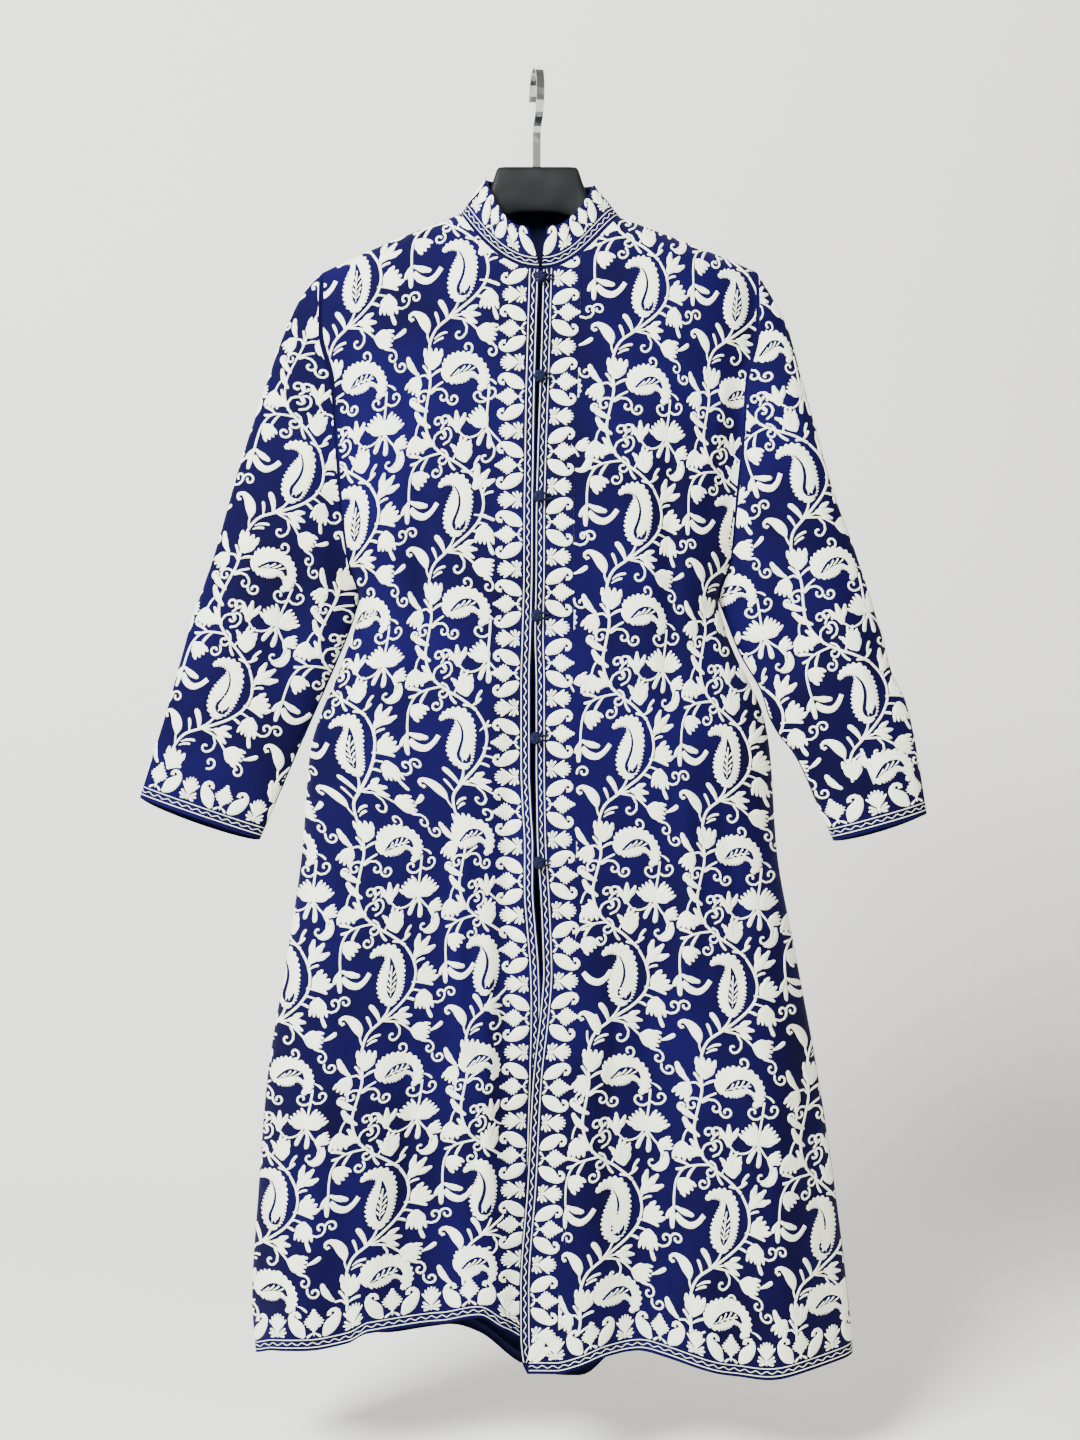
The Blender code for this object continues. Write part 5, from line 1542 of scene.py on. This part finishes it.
def moulding_finish(name, settings):
    """Black moulded plastic: fine grain, and worn patches that are a little paler and rougher."""
    made = Finish(name, settings.plastic_dark, 0.55, Specular_IOR_Level=0.14)
    grain, wear = made.noise(1400.0), made.noise(40.0)
    made.vary(Base_Color=wear.ramp(0.35, 0.75).blend(settings.plastic_dark, settings.plastic_light),
              Roughness=wear * 0.20 + 0.46)
    made.bump(grain, 0.0002, 0.35)
    return made.material


def chrome_finish(name, settings):
    """Polished chrome, rougher and duller where it is worn."""
    made = Finish(name, settings.chrome, settings.chrome_roughness, Metallic=1.0)
    wear = made.noise(120.0, 6.0)
    made.vary(Roughness=wear.ramp(0.45, 0.85) * 0.18 + (settings.chrome_roughness - 0.04),
              Base_Color=wear.blend([part * 0.9 for part in settings.chrome], settings.chrome))
    return made.material


def floor_finish(name, settings):
    """A pale matt surface with the faintest mottling."""
    made = Finish(name, settings.floor, 0.85)
    pale = [min(1.0, part * 1.03) for part in settings.floor]
    made.vary(Base_Color=made.noise(3.0).blend(settings.floor, pale))
    return made.material


def finish(name):
    """The named finish in the settings' colours, made once."""
    found = bpy.data.materials.get(name)
    if found:
        return found
    settings = bpy.context.scene.kaftan
    cloth = settings.cloth
    makers = {
        "navy weave": lambda: cloth_finish(name, cloth.navy_dark, cloth.navy_light, cloth.weave, 0.74, 0.01),
        "navy lining": lambda: cloth_finish(name, cloth.lining_dark, cloth.lining_light, cloth.weave * 0.7,
                                            0.55, 0.03),
        "cream wool": lambda: wool_finish(name, settings.embroidery),
        "navy cord cloth": lambda: cord_finish(name, settings.fastenings),
        "black moulding": lambda: moulding_finish(name, settings.hanger),
        "polished chrome": lambda: chrome_finish(name, settings.hanger),
        "pale floor": lambda: floor_finish(name, settings.stage),
    }
    return makers[name]()


# Pieces


def cloth_finishes():
    """The outer and the inner finish of the cloth."""
    return [finish("navy weave"), finish("navy lining")]


def embroidery_finishes():
    """The wool, and the ground that shows between its strokes."""
    return [finish("cream wool"), finish("navy weave")]


def build_panel(panel):
    """One panel of the body as a thin shell with its embroidery."""
    outwards = np.array([0.0, OUTWARDS[panel], 0.0])
    outer = panel_face(panel, *panel_grid(panel))
    made = make_shell(panel + "_cloth", outer, outwards, CLOTH, cloth_finishes())
    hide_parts(panel)
    wools = embroidery_finishes()
    stitched = [*embroider_panel(panel, wools), *embroider_edges(panel, wools)]
    return outer


def build_lining(outer):
    """The back's lining: the back's own points moved in, ended below its top edge and above its hem."""
    outwards = np.array([0.0, 1.0, 0.0])
    face = outer - grid_normals(outer, outwards) * (CLOTH + LINING_GAP)
    for end, near, short in ((0, 1, LINING_TOP_SHORT), (-1, -2, LINING_SHORT)):
        run = face[near] - face[end]
        face[end] += run * short / np.linalg.norm(run, axis=-1, keepdims=True)
    face = np.delete(face, [1, -2, -3], axis=0)
    rows, columns = (np.unique([*range(0, size, 2), size - 1]) for size in face.shape[:2])
    face = face[rows][:, columns]
    made = make_shell("back_lining_cloth", face, outwards, LINING, [finish("navy lining")] * 2)
    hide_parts("back_lining")


def build_sleeve(side):
    """One sleeve as a thin tube with its embroidery, which stands for the frame's four quarters of it."""
    rows, columns = SLEEVE_GRID
    outer = sleeve_face(side, np.linspace(0, 1, rows)[:, None], whole_turn(columns)[None])
    made = make_shell(f"sleeve_{side}_cloth", outer, None, CLOTH, cloth_finishes(), wrap=True)
    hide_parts(*(name for name in frame["nodes"] if name.startswith("sleeve_" + side)))
    stitched = embroider_sleeve(side, embroidery_finishes())


def build_collar():
    """The stand collar as a thin shell with its border. Its rims are as dark as its inside."""
    rows, columns = COLLAR_GRID
    turn = np.linspace(-math.pi / 2, math.pi * 1.5, columns)
    outer = collar_face(*np.broadcast_arrays(turn, np.linspace(0, 1, rows)[:, None]))
    made = make_shell("collar_cloth", outer, None, COLLAR_CLOTH, cloth_finishes(), rim_finish=1)
    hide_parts("collar")
    stitched = [embroider_collar(embroidery_finishes())]


def front_face_y(x, drop):
    """The front's outer face near its opening, where the buttons and loops lie."""
    edges = [float(smooth_curve(FRONT_EDGES, name, drop)) for name in NECKS]
    panel = "front_left" if x > sum(edges) / 2 else "front_right"
    return float(panel_face(panel, np.array([x]), np.array([drop]))[0, 1])


def end_fans(rows, sides):
    """Quads that close the two ends of a tube of rows, round a first and a last tip added to its places."""
    rim = np.arange(0, sides, 2)
    tip = np.full(len(rim), rows * sides)
    first = np.stack([tip, rim, (rim + 1) % sides, (rim + 2) % sides], axis=-1)
    last = first + (rows - 1) * sides
    last[:, 0] = tip + 1
    return first, last[:, ::-1]


# A slant that no cord runs along
SLANT = (0.05, 1.0, 0.02)


def tube(path, radius, sides=8, closed=False):
    """A round tube: each place is the path's, plus the cosine and sine of the turn along two directions.

    The two directions are square to the path and to each other. The first is also square to a fixed
    slant, which keeps the tube from twisting.
    """
    ahead = np.roll(path, -1, axis=0) - np.roll(path, 1, axis=0) if closed else np.gradient(path, axis=0)
    ahead = unit(ahead)
    across = unit(np.cross(ahead, SLANT))[:, None]
    beside = np.cross(ahead, across[:, 0])[:, None]
    turn = whole_turn(sides)[None, :, None]
    ring = np.cos(turn) * across + np.sin(turn) * beside
    points = (path[:, None] + ring * radius).reshape(-1, 3)
    rows = len(path)
    quads = grid_quads(rows, sides, True)
    if closed:
        last = (rows - 1) * sides + np.arange(sides)
        after = (rows - 1) * sides + (np.arange(sides) + 1) % sides
        joined = np.stack([last, after, after % sides, last % sides], axis=-1)
        return points, np.concatenate([quads, joined])
    return np.concatenate([points, path[[0, -1]]]), np.concatenate([quads, *end_fans(rows, sides)])


def build_button(number, drop, x, settings):
    """A knot button: a closed cord that winds twice round a ball while it weaves up and down.

    Round the ball, the cord's height angle is a cosine of five halves of the way round, and its distance
    from the middle is a sine of the same, so that it passes over and under itself.
    """
    nearest = min(front_face_y(x, drop - LOOP_BEND), front_face_y(x, drop + LOOP_BEND))
    centre = np.array([CENTRE_X + x, nearest - BUTTON_RADIUS - SEAM_GAP, -drop])
    turn = whole_turn(168)
    radius = BUTTON_RADIUS - settings.knot_cord + KNOT_WEAVE * (np.sin(5 * turn) - 1)
    tilt = KNOT_SWING * np.cos(5 * turn)
    path = np.stack([np.cos(2 * turn) * np.cos(tilt), np.sin(tilt), np.sin(2 * turn) * np.cos(tilt)], axis=-1)
    knot, quads = tube(centre + path * radius[:, None], settings.knot_cord, closed=True)
    inside, ball_quads = ball(centre, BUTTON_RADIUS * KNOT_FILLING)
    made = make_mesh(f"button_{number}_knot", np.concatenate([knot, inside]),
                     np.concatenate([quads, ball_quads + len(knot)]), [finish("navy cord cloth")])
    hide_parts(f"button_{number}")


def ball(centre, radius):
    """A closed ball of quads: a cube's grid of places, each moved to the same distance from the middle."""
    side = np.linspace(-1, 1, 7)
    u, v = np.meshgrid(side, side, indexing="ij")
    ones = np.ones_like(u)
    points, quads = [], []
    for axes in ((0, 1, 2), (1, 2, 0), (2, 0, 1)):
        for sign in (-1.0, 1.0):
            face = np.stack([u, v * sign, ones * sign], axis=-1)[..., np.argsort(axes)]
            quads.append(grid_quads(len(side), len(side), False) + sum(len(part) for part in points))
            points.append(unit(face).reshape(-1, 3))
    return centre + np.concatenate(points) * radius, np.concatenate(quads)


def build_loop(number, drop, x):
    """A cord loop: out from the left front, round the knot's foot on part of a circle, and back."""
    bend = np.linspace(math.radians(LOOP_OPENING), math.radians(360 - LOOP_OPENING), 25)
    turned = np.stack([np.cos(bend), np.sin(bend)], axis=-1) * LOOP_BEND
    leg = np.array(LOOP_LEG)
    flat = np.concatenate([leg, turned, leg[::-1] * np.array([1, -1])])
    heights = [min(front_face_y(x + out, drop - up), front_face_y(x + 0.006, drop)) for out, up in flat]
    path = np.stack([CENTRE_X + x + flat[:, 0], np.array(heights) - LOOP_RADIUS - 2 * SEAM_GAP,
                     flat[:, 1] - drop], axis=-1)
    made = make_mesh(f"loop_{number}_cord", *tube(path, LOOP_RADIUS), [finish("navy cord cloth")])
    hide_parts(f"loop_{number}")


def build_hanger():
    """The hanger: rounded sections carried from one end over the neck plate to the other.

    Each section's places are a sine and a cosine of the turn, raised to the hanger's roundness, times
    the half depth and half height that smooth curves give at that place along it.
    """
    places, corners = HANGER_GRID
    rows = [*HANGER_SECTIONS[:0:-1], *HANGER_SECTIONS]
    keys = np.concatenate([-column(HANGER_SECTIONS, "x")[:0:-1], column(HANGER_SECTIONS, "x")])
    at = np.linspace(keys[0], keys[-1], places)
    top, bottom, half = (smooth_between(keys, column(rows, name), at) for name in Section._fields[1:])
    angles = whole_turn(corners) + math.pi / corners
    rounded = np.stack([np.sin(angles), np.cos(angles)], axis=-1)
    rounded = np.sign(rounded) * np.abs(rounded) ** HANGER_ROUNDNESS
    rounded[:, 1] /= rounded[:, 1].max()
    middle, half_height = -(top + bottom) / 2, (bottom - top) / 2
    rings = np.stack([np.broadcast_to((at + HANGER_X)[:, None], HANGER_GRID),
                      rounded[:, 0] * half[:, None],
                      middle[:, None] + rounded[:, 1] * half_height[:, None]], axis=-1)
    ends = rings[[0, -1]].mean(axis=1)
    rings[[0, -1]] = ends[:, None] + (rings[[0, -1]] - ends[:, None]) * 0.98
    quads = np.concatenate([grid_quads(places, corners, True), *end_fans(places, corners)])
    points = np.concatenate([rings.reshape(-1, 3), ends])
    made = make_mesh("hanger_bar", points, quads, [finish("black moulding")])
    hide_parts("hanger")


def finish_hook():
    """Chrome on the frame's own hook."""
    hook = frame["nodes"]["hook"]
    hook.data.materials.clear()
    hook.data.materials.append(finish("polished chrome"))


# The stage: the floor's height, how far it and its wall go, where it starts to sweep up and how widely, the
# camera, the sky's colour and the lights
FLOOR_Z = -1.42
FLOOR_REACH = 4.0
SWEEP_START = 0.9
SWEEP_RADIUS = 0.5
CAMERA_PLACE = (CENTRE_X, -1.950, -0.667)
LENS_MM = 47.5
SENSOR_MM = 36.0
SKY_TINT = (1.0, 0.97, 0.92, 1.0)

Light = namedtuple("Light", "name place target size tint")
LIGHTS = rows_of(
    Light,
    ("key", (-1.6, -2.3, 1.4), (0.0, 0.0, -0.6), 1.3, (0.97, 1.0, 0.98)),
    ("fill", (1.9, -2.4, 0.3), (0.0, 0.0, -0.7), 2.2, (1.0, 0.90, 0.76)),
    ("rim", (0.6, 1.2, 1.4), (0.0, 0.0, -0.4), 1.6, (1.0, 1.0, 1.0)),
)


def add_light(row, watts):
    """A square soft light at its place, turned towards its target."""
    light = bpy.data.lights.new(row.name + "_light", "AREA")
    light.energy = watts
    light.size = row.size
    light.color = row.tint
    made = bpy.data.objects.new(row.name + "_light", light)
    bpy.context.scene.collection.objects.link(made)
    made.location = row.place
    x, y, z = np.array(row.target) - np.array(row.place)
    made.rotation_euler = (math.atan2(math.hypot(x, y), -z), 0.0, math.atan2(y, x) - math.pi / 2)


def build_stage(settings):
    """A pale floor that sweeps up behind the garment along a quarter of a circle, lights and camera."""
    turn = np.linspace(0, math.pi / 2, 14)[1:]
    flat, wall = np.linspace(-FLOOR_REACH, SWEEP_START, 12), np.array([1.2, 2.4, FLOOR_REACH])
    sweep_depth, sweep_height = SWEEP_START + SWEEP_RADIUS * np.sin(turn), SWEEP_RADIUS * (1 - np.cos(turn))
    depth = np.concatenate([flat, sweep_depth, np.full(len(wall), SWEEP_START + SWEEP_RADIUS)])
    height = FLOOR_Z + np.concatenate([np.zeros(len(flat)), sweep_height, wall])
    across = np.linspace(-FLOOR_REACH, FLOOR_REACH, 9)
    rows = np.stack(np.broadcast_arrays(across[None, :], depth[:, None], height[:, None]), axis=-1)
    quads = grid_quads(len(depth), len(across), False)
    make_mesh("floor", rows.reshape(-1, 3), quads, [finish("pale floor")])
    for row in LIGHTS:
        add_light(row, getattr(settings, row.name + "_watts"))
    world = bpy.data.worlds.new("studio")
    world.use_nodes = True
    sky = world.node_tree.nodes["Background"].inputs
    sky["Color"].default_value = SKY_TINT
    sky["Strength"].default_value = settings.sky
    bpy.context.scene.world = world
    lens = bpy.data.cameras.new("camera")
    lens.sensor_fit = "VERTICAL"
    lens.sensor_height = SENSOR_MM
    lens.lens = LENS_MM
    lens.clip_start = 0.05
    camera = bpy.data.objects.new("camera", lens)
    bpy.context.scene.collection.objects.link(camera)
    camera.location = CAMERA_PLACE
    camera.rotation_euler = (math.pi / 2, 0.0, 0.0)
    bpy.context.scene.camera = camera


# Settings, operators and panel


def colour(name, description, default):
    """A colour that the panel lists."""
    return bpy.props.FloatVectorProperty(
        name=name, description=description, subtype="COLOR", size=3, min=0.0, max=1.0, default=default
    )


def length(name, description, default, low, high):
    """A length that the panel lists."""
    return bpy.props.FloatProperty(
        name=name, description=description, default=default, min=low, max=high, unit="LENGTH", precision=5
    )


def power(name, description, default):
    """A light's power that the panel lists."""
    return bpy.props.FloatProperty(name=name, description=description, default=default, min=0.0, unit="POWER")


class KaftanCloth(bpy.types.PropertyGroup):
    navy_dark: colour("Navy, darker", "Ground of the cloth where it is darker", (0.0014, 0.0005, 0.018))
    navy_light: colour("Navy, lighter", "Ground of the cloth where it is lighter", (0.0042, 0.0014, 0.058))
    lining_dark: colour("Lining, darker", "Lining where it is darker", (0.0014, 0.0018, 0.014))
    lining_light: colour("Lining, lighter", "Lining where it is lighter", (0.0032, 0.0042, 0.034))
    weave: length("Weave pitch", "Width of one pair of threads", 0.0009, 0.0003, 0.003)


class KaftanEmbroidery(bpy.types.PropertyGroup):
    # The darker cream is both the wool's random ecru patches and painted shade in the grooves between stitch
    # rows; the lighter cream also serves as painted light on the raised links
    cream_dark: colour("Cream, darker", "Wool in its grooves and ecru patches", (0.88, 0.84, 0.64))
    cream_light: colour("Cream, lighter", "Wool where it stands out", (0.95, 1.0, 0.84))
    row_pitch: length("Row pitch", "From one row of chain stitch to the next", 0.0013, 0.0006, 0.003)
    link_length: length("Link length", "Length of one link of the chain", 0.0019, 0.0008, 0.005)


class KaftanFastenings(bpy.types.PropertyGroup):
    cord_dark: colour("Cord, darker", "Cord where it is darker", (0.0022, 0.0030, 0.016))
    cord_light: colour("Cord, lighter", "Cord where it is lighter", (0.0060, 0.0080, 0.045))
    knot_cord: length("Knot cord", "Radius of the cord that the knots are tied from", 0.0016, 0.0008, 0.002)


class KaftanHanger(bpy.types.PropertyGroup):
    plastic_dark: colour("Moulding, darker", "Black moulding", (0.0035, 0.0045, 0.0055))
    plastic_light: colour("Moulding, lighter", "Black moulding where it is worn", (0.0075, 0.0090, 0.0105))
    chrome: colour("Chrome", "The hook's metal", (0.50, 0.51, 0.54))
    chrome_roughness: bpy.props.FloatProperty(
        name="Chrome roughness", description="Roughness of the hook's metal", default=0.20, min=0.05, max=0.6,
        subtype="FACTOR",
    )


class KaftanStage(bpy.types.PropertyGroup):
    floor: colour("Floor", "The plain floor and backdrop", (0.80, 0.79, 0.77))
    key_watts: power("Key light", "The main soft light", 430.0)
    fill_watts: power("Fill light", "The soft light on the shaded side", 36.0)
    rim_watts: power("Rim light", "The soft light from behind", 20.0)
    sky: bpy.props.FloatProperty(
        name="Room light", description="Even light from all round", default=0.30, min=0.0, max=3.0,
        subtype="FACTOR",
    )


class KaftanSettings(bpy.types.PropertyGroup):
    cloth: bpy.props.PointerProperty(type=KaftanCloth)
    embroidery: bpy.props.PointerProperty(type=KaftanEmbroidery)
    fastenings: bpy.props.PointerProperty(type=KaftanFastenings)
    hanger: bpy.props.PointerProperty(type=KaftanHanger)
    stage: bpy.props.PointerProperty(type=KaftanStage)


class KAFTAN_OT_body(bpy.types.Operator):
    """Builds the two fronts, the back and its lining, with their embroidery"""

    bl_idname = "kaftan.body"
    bl_label = "Fronts, back and lining"

    def execute(self, context):
        for panel in ("front_right", "front_left"):
            build_panel(panel)
        build_lining(build_panel("back"))
        return {"FINISHED"}


class KAFTAN_OT_sleeves(bpy.types.Operator):
    """Builds both sleeves with their vines and cuff borders"""

    bl_idname = "kaftan.sleeves"
    bl_label = "Sleeves"

    def execute(self, context):
        for side in ("right", "left"):
            build_sleeve(side)
        return {"FINISHED"}


class KAFTAN_OT_collar(bpy.types.Operator):
    """Builds the stand collar with its border"""

    bl_idname = "kaftan.collar"
    bl_label = "Collar"

    def execute(self, context):
        build_collar()
        return {"FINISHED"}


class KAFTAN_OT_fastenings(bpy.types.Operator):
    """Builds the six knot buttons and their loops"""

    bl_idname = "kaftan.fastenings"
    bl_label = "Knot buttons and loops"

    def execute(self, context):
        for number, (drop, x) in enumerate(BUTTONS, start=1):
            build_button(number, drop, x, context.scene.kaftan.fastenings)
            build_loop(number, drop, x)
        return {"FINISHED"}


class KAFTAN_OT_hanger(bpy.types.Operator):
    """Builds the hanger and gives the hook its chrome"""

    bl_idname = "kaftan.hanger"
    bl_label = "Hanger and hook"

    def execute(self, context):
        build_hanger()
        finish_hook()
        return {"FINISHED"}


class KAFTAN_OT_stage(bpy.types.Operator):
    """Sets up the floor, lights and camera"""

    bl_idname = "kaftan.stage"
    bl_label = "Stage"

    def execute(self, context):
        for old in list(bpy.data.objects):
            if old.type in ("LIGHT", "CAMERA"):
                bpy.data.objects.remove(old)
        build_stage(context.scene.kaftan.stage)
        return {"FINISHED"}


OPERATORS = (
    KAFTAN_OT_body,
    KAFTAN_OT_sleeves,
    KAFTAN_OT_collar,
    KAFTAN_OT_fastenings,
    KAFTAN_OT_hanger,
    KAFTAN_OT_stage,
)


class KAFTAN_PT_sidebar(bpy.types.Panel):
    """Lists the kaftan's sizes and colours and the steps that build it"""

    bl_idname = "KAFTAN_PT_sidebar"
    bl_label = "Kaftan"
    bl_space_type = "VIEW_3D"
    bl_region_type = "UI"
    bl_category = "Kaftan"

    def draw(self, context):
        settings = context.scene.kaftan
        for group in ("cloth", "embroidery", "fastenings", "hanger", "stage"):
            box = self.layout.box()
            box.label(text=group.capitalize())
            values = getattr(settings, group)
            for name in type(values).__annotations__:
                box.prop(values, name)
        for operator in OPERATORS:
            self.layout.operator(operator.bl_idname)


CLASSES = (
    KaftanCloth,
    KaftanEmbroidery,
    KaftanFastenings,
    KaftanHanger,
    KaftanStage,
    KaftanSettings,
    *OPERATORS,
    KAFTAN_PT_sidebar,
)


def register():
    for item in CLASSES:
        bpy.utils.register_class(item)
    bpy.types.Scene.kaftan = bpy.props.PointerProperty(type=KaftanSettings)


def unregister():
    del bpy.types.Scene.kaftan
    for item in reversed(CLASSES):
        bpy.utils.unregister_class(item)


def main():
    register()
    for operator in OPERATORS:
        group, name = operator.bl_idname.split(".")
        getattr(getattr(bpy.ops, group), name)()
    bpy.context.view_layer.update()


if __name__ == "__main__":
    main()
